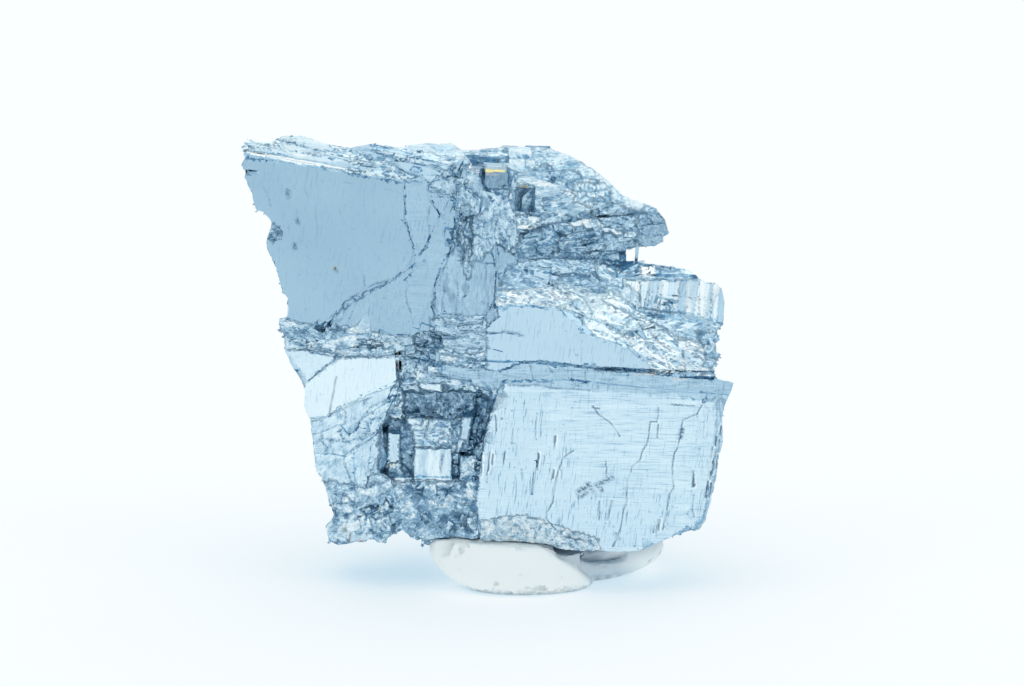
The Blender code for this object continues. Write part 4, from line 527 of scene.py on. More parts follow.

# Cracks, ledges and scratches, drawn in mm on the same plane. Mesh is the longest edge of the mesh along
# them, width how far their groove goes to each side, depth how deep it is and dark how much it darkens.
# Left of a line, seen along it, rim brightens the ground, a painted highlight along the crack's edge, and
# step sinks it, as far as reach. Speckle breaks a groove into specks of this size.
lines = {
    "plate": {"mesh": 0.13, "width": 0.09, "depth": 0, "dark": 0.22, "drawn": [
        [(17.2, -4.3), (17.5, -5.6), (18.3, -6.5), (18.6, -7.4), (18.5, -8.5), (18.3, -9.8), (18, -11.6),
         (17.7, -13.4), (17.2, -15.7)], [(-13.3, 15.5), (-12.2, 15.3)],
        [(-18.1, 16.7), (-17.8, 15.4), (-17.9, 14.6), (-17.6, 13.8), (-17.9, 12.6), (-18, 11.6),
         (-17.8, 10.1), (-18, 9.2)], [(-18.5, 16.3), (-18.8, 14.9), (-19, 14), (-18.6, 13.3)],
        [(-22.9, 14.6), (-22.4, 13.6), (-22, 12.5)], [(-20.5, 14), (-20.4, 13.3)],
        [(-19.5, 11.5), (-19.7, 11)], [(-15.7, 12), (-15.2, 10.9)], [(-15.4, 14.7), (-14.5, 14.5)],
        [(-11.7, 14.1), (-10.6, 13.8)], [(-19.7, 9), (-19.7, 8.6)], [(-18.8, 8), (-18.4, 7.6)],
        [(-22.3, 10.4), (-21.2, 10.1)], [(-22.4, 9.8), (-21.1, 9.5)]]},
    "shellEdge": {
        "mesh": 0.13, "width": 0.11, "depth": 0.03, "dark": 0.42, "step": 0.03, "reach": 0.8,
        "drawn": [
        [(-9.7, 14.8), (-9.9, 13.8), (-9.8, 12.6), (-9.9, 11.6), (-9.6, 10.5), (-9.2, 9.4), (-9, 8.2),
         (-9.2, 7.5), (-10, 6.6), (-11, 5.8), (-12.2, 5.3), (-13.3, 4.7), (-14.1, 3.9), (-14.6, 3),
         (-15, 2.1), (-15.3, 1.3)],
        [(-11, 5.8), (-12.6, 5.5), (-13.7, 4.8), (-14.8, 4.2), (-15.4, 3.7), (-15.9, 2.8), (-16.6, 2),
         (-17.1, 1.3)], [(-13.5, 6.2), (-13.5, 5.4), (-13.8, 4.8)],
        [(-15.2, 3.9), (-15.6, 3.2), (-16.2, 2.4)], [(-10, 11.1), (-9.6, 10.7)]]},
    "shell": {"mesh": 0.13, "width": 0.1, "depth": 0.05, "dark": 0.45, "drawn": [
        [(-7.7, 14.2), (-7.5, 13.1), (-6.9, 12.2), (-6.3, 11.5), (-5.5, 11.2)],
        [(-7.5, 12.6), (-7.7, 11.2), (-7.5, 9.8), (-7.8, 8.9), (-8.6, 8)],
        [(-9.7, 6), (-9.4, 5.3), (-9.7, 4.7), (-9.6, 3.7), (-9.2, 2.8), (-9, 1.8)],
        [(-5.5, 9.4), (-5.7, 8.3), (-6.1, 7.2), (-6.8, 5.9), (-7.3, 4.8), (-7.4, 3.7), (-7.1, 2.7),
         (-6.6, 2.1)], [(-6.3, 5.8), (-6.2, 4.8), (-6.4, 3.9), (-6.2, 2.9)],
        [(-5.1, 5.8), (-4.8, 4.8), (-5, 3.8), (-5.1, 2.7)],
        [(-4, 4.8), (-4.5, 4.1), (-4.4, 3.4), (-3.9, 2.7)],
        [(-6.5, 2.7), (-5.5, 2.6), (-4.6, 2.7), (-3.7, 2.5)],
        [(-2.4, 7.3), (-2.3, 6.2), (-2.5, 5.2), (-2.1, 4.3), (-2.2, 3.4), (-2.6, 2.7)],
        [(-1.6, 7.3), (-1.6, 6.2), (-1.5, 5.2), (-1.6, 4.1), (-2, 3.3), (-2.7, 2.6)],
        [(-1.5, 9.3), (-1.5, 7.4)], [(-2.9, 9.3), (-2.9, 7.4), (-1.5, 7.3)],
        [(-1.4, 9.1), (-0.5, 8.5), (0.3, 8)], [(-0.6, 11.1), (-0.5, 10.1), (-0.1, 9), (0.5, 8)],
        [(-1.5, 10.7), (-1.1, 11.7), (-0.6, 11.1)], [(-4.9, 13.1), (-4.8, 11.2), (-5.1, 9)],
        [(-4.6, 14.4), (-3.8, 13.8), (-3, 13.4)], [(-6.7, 14), (-5.4, 13.8)],
        [(-6.8, 13.4), (-5.9, 13.5), (-5.2, 13.3)], [(-8.6, 8), (-7.7, 8.8)],
        [(0.4, 10.8), (0.5, 9.4), (0.6, 8)]]},
    "brow": {"mesh": 0.18, "width": 0.15, "depth": 0.06, "dark": 0.4, "drawn": [
        [(-23.9, 18.4), (-22.9, 18.1), (-21.7, 17.8), (-21.6, 18.6)],
        [(-21.6, 18.6), (-20.3, 18.3), (-18.5, 17.9), (-17.1, 17.6)],
        [(-19.4, 17.5), (-17.5, 17.2), (-15.7, 17.1), (-14.6, 16.7), (-12.8, 16.5)],
        [(-16.3, 17.5), (-15.7, 17)], [(-12.8, 17.6), (-11.2, 17.1), (-10.1, 16.7)],
        [(-11.8, 16.5), (-11.3, 16.4)], [(-10.6, 16.6), (-10.4, 16.2)],
        [(-14.6, 16.7), (-12.8, 16.2), (-11, 15.8)], [(-10.2, 16), (-9.1, 15.5), (-8.4, 14.5)],
        [(-9.8, 16.7), (-7.5, 16.2), (-6, 15.5), (-5.7, 14.7)],
        [(-9.3, 17.8), (-7.5, 17.6), (-6.6, 17.2), (-5.5, 17.4)], [(-24.7, 15.4), (-23.8, 15.4)]]},
    "seam": {"mesh": 0.18, "width": 0.15, "depth": 0.08, "dark": 0.5, "drawn": [
        [(-20.1, 0.1), (-18.9, -0.3), (-17.5, -0.5), (-16.2, -0.8), (-15.2, -1.1), (-13.9, -0.5),
         (-12.4, -0.3), (-10.2, 0.2)], [(-20.5, 1.3), (-19.4, 0.9), (-18.3, 1.1), (-17.4, 1.4)],
        [(-20.7, 2.3), (-20.3, 1.2)],
        [(-19.4, -0.6), (-17.5, -1), (-15.6, -1.4), (-12.8, -1.2), (-10.2, -1.2)],
        [(-15.2, 1.2), (-13.9, 0.8), (-12.2, 0.5), (-11.3, 0.2)],
        [(-7.5, 1), (-6.2, 0.8), (-5.2, 0.5), (-4.5, 0.9), (-3.3, 1.1), (-2, 0.9), (-0.8, 1.1),
         (0.9, 0.7)], [(-7.5, 0.5), (-6.4, 0.4), (-5.5, 0.5)],
        [(-6.5, -0.5), (-5.1, -0.2), (-3.8, -0.5), (-2.7, -0.4)],
        [(-6.4, -1.1), (-4.8, -1.4), (-3.1, -1.6)], [(-10.1, 0.3), (-9.5, -0.6)],
        [(-6.1, 1.9), (-4.6, 1.7), (-3.1, 1.9)]]},
    "slope": {"mesh": 0.17, "width": 0.14, "depth": 0.08, "dark": 0.5, "drawn": [
        [(4.2, 6.9), (4.6, 5.8), (4.9, 4.9), (5.3, 4), (5.9, 3.3), (6.5, 2.4), (6.4, 1.6)],
        [(3.5, 6.2), (4.2, 6.5)], [(3.2, 4.8), (3.9, 4.3), (4.4, 3.7)],
        [(5.1, 7.9), (5.7, 7.1), (6.3, 6.6)], [(5.7, 5.3), (7, 5), (8, 4.4)], [(0.9, 7.3), (1.5, 6.3)],
        [(7.1, 6.5), (8, 5.9)], [(2.6, 5.6), (3.7, 5.4)], [(7.9, 2.3), (9.1, 1.4), (10.4, 0.8)],
        [(6.8, 3.9), (7.3, 3), (7.1, 2.1)], [(11.7, 1.9), (12.8, 0.9), (13.7, -0.1), (14.6, -0.8)],
        [(12.1, 2), (13.5, 1.6), (14.6, 1), (15.8, 0.5), (16.7, 0), (17.5, -0.7), (17.8, -1.4)],
        [(13.7, -1.1), (14.3, -1.4)], [(14.3, -1.7), (14.6, -2.7)], [(8.4, 3.9), (9.9, 3.2), (11.7, 2.3)],
        [(15.7, -0.8), (15.9, -2.5)]]},
    "strip": {"mesh": 0.14, "width": 0.09, "depth": 0.03, "dark": 0.55, "drawn": [
        [(-7.3, -1.7), (-5.7, -1.9), (-3.8, -2.3), (-1.1, -2.6)],
        [(-1.1, -2.8), (0.5, -3.1), (1.6, -3.5)],
        [(-0.6, -2.4), (0.7, -1.8), (3, -1.7), (4.9, -1.9), (6.4, -2.2), (8, -2.4), (10.1, -2.3),
         (11.7, -2.6), (12.8, -2.7)], [(5.8, -2.1), (8, -2.4)], [(12.8, -2.5), (13.7, -2.8), (14.4, -3)],
        [(15.3, -2.7), (17.2, -2.8), (18.6, -3.1)], [(8.5, -2.4), (9.1, -2.7), (10.2, -2.6)],
        [(3, -1.8), (3.7, -2.7)], [(5.5, -2.5), (5.6, -3.7)], [(6.7, -2.5), (6.8, -3.7)],
        [(1.6, -2), (1.9, -3.2)], [(-0.4, -3.8), (2.6, -3.9), (7.1, -4.4)]]},
    "face": {"mesh": 0.11, "width": 0.09, "depth": 0, "dark": 0.95, "rim": 0.15, "reach": 0.2, "drawn": [
        [(13.4, -5.9), (13.3, -7.2), (12.7, -7.2), (12.4, -9.1), (11.9, -10.1), (11.8, -10.7),
         (11, -11.2), (10.9, -11.7), (10.6, -12.5), (10.4, -13.7), (10.5, -14.4), (10.1, -16.2),
         (9.7, -17.7), (9.2, -18.6)], [(13.4, -7.4), (13.3, -8.6)],
        [(17.4, -5.7), (17, -6.4), (15.6, -7), (15.4, -8.4), (15.1, -9.5), (14.8, -10.1), (14.7, -11.9),
         (14.8, -13.2), (14.4, -13.9), (14.2, -15.5), (13.8, -17.1)],
        [(7.4, -5.7), (8, -6.6), (9, -7.3), (9.9, -8.5)], [(7.3, -5.8), (8, -6)],
        [(2.5, -10.1), (2.3, -11.6)], [(4.1, -8.5), (3.8, -9.8)],
        [(5.6, -9.8), (4.6, -10.5), (4.1, -11.9), (3.9, -13.2), (3.7, -14.6), (3.2, -15.5), (3.2, -16),
         (4.4, -17.5), (6.9, -18.2), (7.8, -18.6)], [(-0.6, -10), (-0.8, -11.2)],
        [(-2, -10), (-2.3, -12.1)], [(-2.8, -10.2), (-2.8, -12.2)], [(2.3, -6.7), (2.2, -7.8)],
        [(-1.6, -6.6), (-1.4, -8)], [(14.6, -5.6), (16.7, -5.7)], [(8.6, -10.7), (8.6, -12.3)],
        [(8, -14.4), (8, -16.2)], [(16.6, -11.6), (16.7, -13.1)], [(16.5, -15.1), (16.6, -15.8)],
        [(9.1, -14.4), (8.7, -16.2)], [(4.4, -17.7), (7.1, -18)], [(13.3, -16.2), (13.2, -17.3)]]},
    "pits": {"mesh": 0.11, "width": 0.34, "depth": 0.02, "dark": 1.3, "speckle": 0.16, "drawn": [
        [(5.94, -13.62), (6.58, -13.25)], [(6.12, -14.08), (6.76, -13.71)],
        [(6.95, -12.89), (7.5, -13.62)], [(7.68, -12.98), (8.23, -13.44)],
        [(8.41, -12.71), (9.14, -12.25)], [(8.04, -12.89), (8.32, -12.71)],
        [(-16.22, 6.76), (-16.09, 6.64)], [(-20.57, 13.99), (-20.47, 13.44)],
        [(-19.65, 11.33), (-19.56, 11.06)], [(-19.74, 8.96), (-19.74, 8.68)],
        [(9.6, -17.64), (9.69, -17.82)], [(15.54, -8.04), (15.36, -8.59)]]},
    "hatch": {
        "mesh": 0.12, "width": 0.12, "depth": 0.06, "dark": 0.95, "rim": 0.4, "reach": 0.3,
        "drawn": [
        [(18.65, -8.59), (18.56, -9.41)], [(18.97, -8.87), (18.78, -9.96)],
        [(18.28, -9.51), (18.19, -10.51)], [(18.74, -10.24), (18.65, -11.43)],
        [(18.42, -10.88), (18.33, -11.88)], [(18.19, -11.79), (18.1, -12.52)],
        [(17.92, -12.71), (17.73, -14.17)], [(18.19, -12.89), (18.01, -14.08)],
        [(18.51, -9.78), (18.42, -10.88)], [(19.01, -8.32), (19.2, -7.59)],
        [(2.42, -10.05), (2.33, -10.88)], [(-2.01, -9.96), (-2.19, -11.61)],
        [(-1.69, -10.24), (-1.78, -11.06)], [(4.02, -8.59), (3.88, -9.6)],
        [(3.79, -11.61), (3.7, -12.34)], [(-2.83, -10.24), (-2.83, -12.16)],
        [(16.64, -11.97), (16.54, -13.16)], [(13.07, -16.36), (12.98, -17.28)],
        [(13.53, -16.18), (13.39, -17.09)]]},
    "leftFace": {"mesh": 0.14, "width": 0.13, "depth": 0.06, "dark": 0.65, "drawn": [
        [(-15.9, -0.9), (-16.3, -1.7), (-17.1, -2.2), (-17.7, -2.8), (-18.6, -3.4)],
        [(-16, -3.1), (-16.4, -4.8), (-16.7, -6.5)],
        [(-16.8, -6.6), (-15.3, -6.1), (-14.1, -5.4), (-12.8, -5)]]},
    "ledges": {
        "mesh": 0.16, "width": 0.13, "depth": 0.06, "dark": 0.4, "step": 0.08, "reach": 0.6,
        "drawn": [
        [(-14.2, -7.9), (-13.8, -7), (-13, -6), (-11.7, -5.4), (-10.4, -5.2)],
        [(-15.3, -5.7), (-15.3, -6.9), (-15.4, -7.4)],
        [(-15.4, -7.4), (-15.9, -8), (-15.6, -8.7), (-15.2, -9)],
        [(-12.2, -8.3), (-13.2, -9), (-14.5, -9.6), (-15.3, -10.1), (-15.4, -10.9), (-15, -12),
         (-14.6, -12.9)], [(-17.5, -8.7), (-16.1, -8.9), (-15.1, -9), (-13.7, -8.6), (-12.2, -8)],
        [(-13.3, -7.5), (-13, -8), (-13.7, -8.3)], [(-17.3, -7.5), (-17.5, -8.9), (-17.1, -9.4)],
        [(-12.8, -6.7), (-13.3, -7.4)], [(-13, -11.6), (-13.2, -12.7)],
        [(-15.9, -13.6), (-15, -14.2), (-14.6, -14.7)], [(-16.4, -14.4), (-16.1, -15.6)]]},
    "pocket": {"mesh": 0.18, "width": 0.14, "depth": 0.1, "dark": 0.6, "drawn": [
        [(-9.9, -1.4), (-9.7, -2.7), (-10.1, -3.7)], [(-10.3, -1.2), (-10.4, -2.7), (-10.5, -3.8)],
        [(-8.1, -3.6), (-7.1, -3.7)], [(-9.9, -6.7), (-7.9, -6.9), (-5.7, -6.9)],
        [(-10.1, -9.6), (-8.8, -9.6), (-5.4, -9.5)], [(-9, -9.7), (-9, -12.5)],
        [(-5.5, -9.6), (-5.4, -12.5)], [(-11.3, -8.2), (-10.2, -8.2)],
        [(-12, -11.6), (-11.3, -12), (-10.8, -12)], [(-7.7, -7.2), (-8, -8.5)],
        [(-5.2, -7), (-4.8, -8.9)], [(-6.4, -10.2), (-6.5, -11.8)], [(-10.1, -10.9), (-9.1, -12)],
        [(-8.4, -2.7), (-6.6, -3), (-3.8, -3.4)], [(-6.6, -5), (-6.4, -6.3)],
        [(-3.8, -3.4), (-3.1, -4.5)]]},
    "ribs": {"mesh": 0.16, "width": 0.12, "depth": 0.08, "dark": 0.4, "drawn": [
        [(11.7, 5.4), (11.7, 3.7)], [(12.6, 5.4), (12.4, 3.5)], [(13.8, 5.5), (13.5, 3.9), (13.3, 3.1)],
        [(13.3, 5.4), (13.3, 4.1)], [(15.8, 5.7), (15.4, 4.6), (15.1, 3.5), (14.4, 2.9)],
        [(14.5, 3.4), (14.4, 2.8)], [(18.4, 4.8), (18.2, 3.5), (17.8, 2.5)], [(17.1, 5.4), (17.1, 2.4)],
        [(11.7, 7.4), (13.1, 7.2), (14.5, 7.1)], [(14.4, 7.4), (14.5, 6.9)],
        [(11.7, 3.2), (13.5, 2.9), (16.3, 2.6)]]},
    "nose": {"mesh": 0.18, "width": 0.14, "depth": 0.1, "dark": 0.6, "drawn": [
        [(6, 10.2), (7.1, 10.3), (8, 10.7)], [(7.1, 11.2), (9.1, 11), (10.2, 10.7)],
        [(0.4, 11.7), (1.5, 11.8), (3, 11.6), (3.7, 11.8)], [(0.7, 9.8), (2.1, 10.8), (3.3, 11.6)],
        [(2, 14.4), (2, 12.3)], [(4.4, 14), (6, 13.9), (7.9, 14)], [(3.1, 14.9), (5.8, 14.8)],
        [(8.5, 12.2), (10.8, 11.1)], [(0.7, 7.4), (3, 7.8), (8, 7.8), (9.1, 7.4)]]},
}
# How many widths off its line a rim's painted highlight is brightest, and how many times as strong as its
# depth a groove's dark is, up to its full strength
grooves = {"rim": 1.5, "dark": 1.5}
# Tarnish and dust, and two white painted highlights where facets glint: where, half their width and height,
# in mm, their colour and how strong it is
stainsAndGlints = [
    ((-1.6, 15.8), (0.96, 0.18), "fff0a0", 1),
    ((1.4, 14.1), (0.2, 0.15), "e8cf7a", 1),
    ((0.8, 13.1), (0.46, 0.09), "b08a58", 0.8),
    ((-11.5, -11.2), (0.15, 0.11), "f0e0a0", 1),
    ((-11.1, -11.2), (0.16, 0.11), "f0e0a0", 1),
    ((-16.2, 6.8), (0.18, 0.18), "6f7a70", 0.8),
    ((-20.9, 7.8), (0.18, 0.09), "6f7a70", 0.6),
    ((-15.4, -17.1), (0.27, 0.37), "8b9080", 0.5),
    ((-14.8, -17.8), (0.18, 0.55), "4c5556", 0.7),
    ((-13.8, -18.4), (0.37, 0.37), "b9929c", 0.5),
    ((12.2, -2.8), (0.91, 0.09), "d9b48c", 0.7),
    ((15.4, -3.2), (0.82, 0.08), "d9c4b8", 0.6),
    # painted highlight: a facet that glints white
    ((12.4, 6.6), (0.64, 0.46), "ffffff", 1),
    ((-1.8, 15.4), (0.55, 0.09), "bcb8c4", 0.6),
    # painted highlight: a facet that glints white
    ((-3.5, 16), (0.5, 0.41), "ffffff", 1),
]
recipes = [{**usual, **recipe} for recipe in (broken, *surfaces.values())]


def drawn(places):
    # where points fall on the drawing plane, in mm right of and above its middle
    away = places / mm - eye
    scale = view["distance"] / (away @ ahead)
    return np.stack([away[:, 0] * scale, (away @ upward) * scale], axis=1)


def boxed(spots, line, reach):
    # the spots in a line's box, widened by reach
    u, v = spots.T
    (u0, v0), (u1, v1) = line.min(0) - reach, line.max(0) + reach
    return ((u > u0) & (u < u1) & (v > v0) & (v < v1)).nonzero()[0]


def within(edge, spots):
    # which spots lie inside a closed outline
    edge = np.array(edge)
    found = np.zeros(len(spots), bool)
    near = boxed(spots, edge, 0)
    u, v = spots[near].T
    inside = np.zeros(len(near), bool)
    for (u0, v0), (u1, v1) in zip(edge, np.roll(edge, -1, axis=0)):
        if v0 != v1:
            inside ^= ((v0 > v) != (v1 > v)) & (u < (u1 - u0) * (v - v0) / (v1 - v0) + u0)
    found[near] = inside
    return found


def besideLine(line, spots, reach):
    # for the spots within reach of a line: which they are, how far off, and on which side
    line = np.array(line)
    near = boxed(spots, line, reach)
    u, v = spots[near].T
    best = np.full(len(near), float(reach))
    side = np.zeros(len(near))
    for (u0, v0), (u1, v1) in zip(line[:-1], line[1:]):
        du, dv = u1 - u0, v1 - v0
        along = np.clip(((u - u0) * du + (v - v0) * dv) / (du * du + dv * dv), 0, 1)
        far = np.hypot(u - u0 - along * du, v - v0 - along * dv)
        closer = far < best
        best[closer] = far[closer]
        side[closer] = np.sign(du * (v - v0) - dv * (u - u0))[closer]
    kept = best < reach
    return near[kept], best[kept], side[kept]


def pointsOf(mesh):
    places = np.empty(len(mesh.vertices) * 3, np.float32)
    normals = np.empty(len(mesh.vertices) * 3, np.float32)
    mesh.vertices.foreach_get("co", places)
    mesh.vertices.foreach_get("normal", normals)
    return places.reshape(-1, 3).astype(float), normals.reshape(-1, 3).astype(float)


def movePoints(mesh, places):
    mesh.vertices.foreach_set("co", places.astype(np.float32).ravel())
    mesh.update()


def edgesOf(mesh, places):
    # the two ends of each edge and its length in mm
    ends = np.empty(len(mesh.edges) * 2, np.int32)
    mesh.edges.foreach_get("vertices", ends)
    a, b = ends.reshape(-1, 2).T
    return a, b, np.linalg.norm(places[a] - places[b], axis=1) / mm


def keep(mesh, name, values, kind="FLOAT", field="value"):
    # a number, vector or colour for each point, which the material reads
    layer = mesh.attributes.new(name, kind, "POINT")
    layer.data.foreach_set(field, values.astype(np.float32).ravel())


def surfaceTree(mesh):
    return BVHTree.FromPolygons([v.co for v in mesh.vertices], [p.vertices for p in mesh.polygons])


def shorten(length, front, spots, line, least, clear):
    # the edges beside a line, from least mm at clear mm from it
    near, far, _ = besideLine(line, spots, detail["reach"])
    wanted = np.maximum(least, detail["growth"] * (far - clear))
    length[near] = np.where(front[near], np.minimum(length[near], wanted), length[near])


def targetLength(spots, front):
    # the longest edge that each spot may keep, in mm: short by the drawn lines, longer away from them
    length = np.full(len(spots), detail["hidden"])
    length[front] = detail["front"]
    for recipe in recipes[1:]:
        if "inside" in recipe:
            continue
        length[within(recipe["edge"], spots) & front] = recipe["mesh"]
        if "crisp" in recipe:
            shorten(length, front, spots, [*recipe["edge"], recipe["edge"][0]], recipe["crisp"], 0)
    for group in lines.values():
        for line in group["drawn"]:
            shorten(length, front, spots, line, group["mesh"], group["width"])
    return length


def markSeen(mesh):
    # the drawn lines are cut only where the view reaches
    tree = surfaceTree(mesh)
    places, normals = pointsOf(mesh)
    seen = np.zeros(len(places))
    source = Vector(eye) * mm
    for i in (normals @ -ahead > detail["seenTurn"]).nonzero()[0]:
        run = Vector(places[i]) - source
        hit = tree.ray_cast(source, run.normalized())[0]
        if hit is None or (hit - source).length > run.length - detail["seenDepth"] * mm:
            seen[i] = 1
    keep(mesh, "seen", seen)


def seenOf(mesh):
    seen = np.zeros(len(mesh.vertices), np.float32)
    if "seen" in mesh.attributes:
        mesh.attributes["seen"].data.foreach_get("value", seen)
    return seen


def refine(mesh, rounds):
    # halves what is too long until nothing is, at most so many times
    shortest = min(group["mesh"] for group in lines.values())
    for _ in range(rounds):
        places, normals = pointsOf(mesh)
        seen = seenOf(mesh)
        a, b, length = edgesOf(mesh, places)
        some = (length > detail["split"] * shortest).nonzero()[0]
        a, b = a[some], b[some]
        front = ((normals[a] + normals[b]) @ -ahead > 0) & (seen[a] + seen[b] > detail["seenShare"])
        wanted = targetLength(drawn((places[a] + places[b]) / 2), front)
        long = some[length[some] > detail["split"] * wanted]
        if not len(long):
            break
        work = bmesh.new()
        work.from_mesh(mesh)
        work.edges.ensure_lookup_table()
        bmesh.ops.subdivide_edges(work, edges=[work.edges[i] for i in long], cuts=1)
        wide = [face for face in work.faces if len(face.verts) > 3]
        bmesh.ops.triangulate(work, faces=wide, quad_method="BEAUTY", ngon_method="BEAUTY")
        work.to_mesh(mesh)
        work.free()
    print("crystal mesh refined to", len(mesh.polygons), "triangles")


def strayed(ruled, front, chipped, lift):
    # where the drawn lines and, further off, the surfaces' edges have strayed to, and how faded lines are
    # there; chips are cut on the way
    spots, ragged = ruled.copy(), ruled.copy()
    fade = np.ones(len(ruled))
    for i in front.nonzero()[0]:
        spot = Vector((*ruled[i], 0))
        for amount, size in wander["lines"]:
            spots[i] += amount * np.array(noise.noise_vector(spot / size))[:2]
        amount, size = wander["edges"]
        ragged[i] = spots[i] + amount * np.array(noise.noise_vector(spot / size))[:2]
        strength = wander["usual"] + noise.noise(spot / wander["fade"])
        fade[i] = min(wander["most"], max(wander["least"], strength))
        if chipped[i]:
            depth = chips["share"] + noise.fractal(spot / chips["size"], *chips["noise"])
            lift[i] -= chips["deep"] * max(0, depth)
    return spots, ragged, fade


def flowOf(place, recipe):
    # a point in the grain of its surface: along it, through it and across it, in grains
    along, across, angle = recipe["size"]
    turned = math.radians(angle)
    x, y, z = place
    return Vector(((x * math.cos(turned) + z * math.sin(turned)) / along, y / across,
                   (z * math.cos(turned) - x * math.sin(turned)) / across))


def blockAt(spot, recipe):
    # flat little cleavage blocks, each with its own height, tilt and brightness
    cell = spot / recipe["blocks"]
    reach, middles = noise.voronoi(cell)
    own = noise.cell_vector(middles[0] * cleavage["scatter"]) * 2 - Vector((1, 1, 1))
    tilt = (cell - middles[0]).dot(Vector((own.y, own.z, own.x)))
    depth = recipe["lift"] * (0.5 - cleavage["height"] * own.x - cleavage["lean"] * tilt)
    joint = recipe["joints"] * max(0, 1 - (reach[1] - reach[0]) / cleavage["joint"])
    return depth, 1 + recipe["contrast"] * own.z, joint


def terraceAt(spot, recipe):
    # flat terraces with a steep drop between them, each a little lighter or darker
    rise = (0.5 + 0.5 * noise.fractal(spot / recipe["terraces"], *cleavage["noise"])) * recipe["levels"]
    level = math.floor(rise)
    climb = max(0, 1 - (1 - rise + level) / cleavage["bank"])
    depth = recipe["drop"] * (1 - (level + climb) / recipe["levels"])
    own = noise.cell(Vector((level * cleavage["shades"], 0.5, 0.5))) - 0.5
    return depth, 1 + recipe["contrast"] * own


def cutLine(line, group, spots, front, fade, lift, tone, cleft):
    near, far, side = besideLine(line, spots, group.get("reach", group["width"]))
    seen = front[near]
    near, far, side = near[seen], far[seen], side[seen]
    groove = np.clip(1 - far / group["width"], 0, 1) * fade[near]
    if "speckle" in group:
        groove *= [0.5 + noise.noise(Vector((*spots[i], 0)) / group["speckle"]) for i in near]
    lift[near] -= group["depth"] * groove
    # painted highlight along the left edge of the groove
    if "rim" in group:
        beside = np.clip(1 - np.abs(far / group["width"] - grooves["rim"]), 0, 1)
        tone[near] += group["rim"] * np.where(side > 0, beside * fade[near], 0)
    if "step" in group:
        lift[near] -= group["step"] * np.where(side > 0, 1 - far / group["reach"], 0)
    cleft[near] = np.maximum(cleft[near], group["dark"] * np.clip(groove * grooves["dark"], 0, 1))


def tarnishAndGlintOf(ruled, shown):
    # colour and strength of stains and painted highlights; a point with neither has the colour of the next,
    # so that none has a dark rim
    tarnishAndGlint = np.zeros((len(ruled), 4))
    for place, size, code, strength in stainsAndGlints:
        colour = fromHex(code)[:3]
        tarnishAndGlint[:, :3] = np.where(tarnishAndGlint[:, 3:] > 0, tarnishAndGlint[:, :3], colour)
        off = np.abs(ruled - np.array(place)) / np.array(size)
        tarnishAndGlint[(off.max(axis=1) < 1) & shown] = (*colour, strength)
    return tarnishAndGlint


def shapeCrystal(mesh):
    places, normals = pointsOf(mesh)
    count = len(places)
    facing = normals @ -ahead
    front = (facing > 0) & (seenOf(mesh) > detail["seenShare"])
    ruled = drawn(places)
    # what doesn't face the view steps back a little, so that the small chips in the front's edges show
    lift = np.where(facing < chips["side"], -chips["back"], 0.0)
    longest = np.zeros(count)
    a, b, length = edgesOf(mesh, places)
    for end in (a, b):
        np.maximum.at(longest, end, length)
    chipped = (facing > chips["side"]) & (facing < chips["edge"]) & (longest < chips["mesh"])
    spots, ragged, fade = strayed(ruled, front, chipped, lift)
    which = np.zeros(count, int)
    for number, recipe in enumerate(recipes[1:], 1):
        there = ~front if "inside" in recipe else front
        which[within(recipe["edge"], ruled if "ruled" in recipe else ragged) & there] = number
    painted = {name: np.array([recipe[name] for recipe in recipes])[which]
               for name in ("tone", "grain", "streak", "wear")}
    tone = painted["tone"]
    cleft = np.zeros(count)
    flow = np.zeros((count, 3))
    for i in range(count):
        recipe = recipes[which[i]]
        if "level" in recipe and abs(places[i, 1] / mm - recipe["level"]) < cleavage["near"]:
            places[i, 1] = recipe["level"] * mm
            lift[i] = 0
        flow[i] = spot = flowOf(places[i] / mm, recipe)
        if "lift" in recipe:
            depth, shade, cleft[i] = blockAt(spot, recipe)
            lift[i] -= depth
            tone[i] *= shade
        if "drop" in recipe:
            depth, shade = terraceAt(spot, recipe)
            lift[i] -= depth
            tone[i] *= shade
    for group in lines.values():
        for line in group["drawn"]:
            cutLine(line, group, spots, front, fade, lift, tone, cleft)
    places += normals * (np.minimum(lift, 0) * mm)[:, None]
    movePoints(mesh, np.clip(places, np.array(cadLow), np.array(cadHigh)))
    for name, values in {**painted, "cleft": cleft}.items():
        keep(mesh, name, values)
    keep(mesh, "flow", flow, "FLOAT_VECTOR", "vector")
    keep(mesh, "tarnishAndGlint", tarnishAndGlintOf(ruled, front & (facing > crystal["stainAndGlintFacing"])), "FLOAT_COLOR", "color")
    print("crystal face broken")


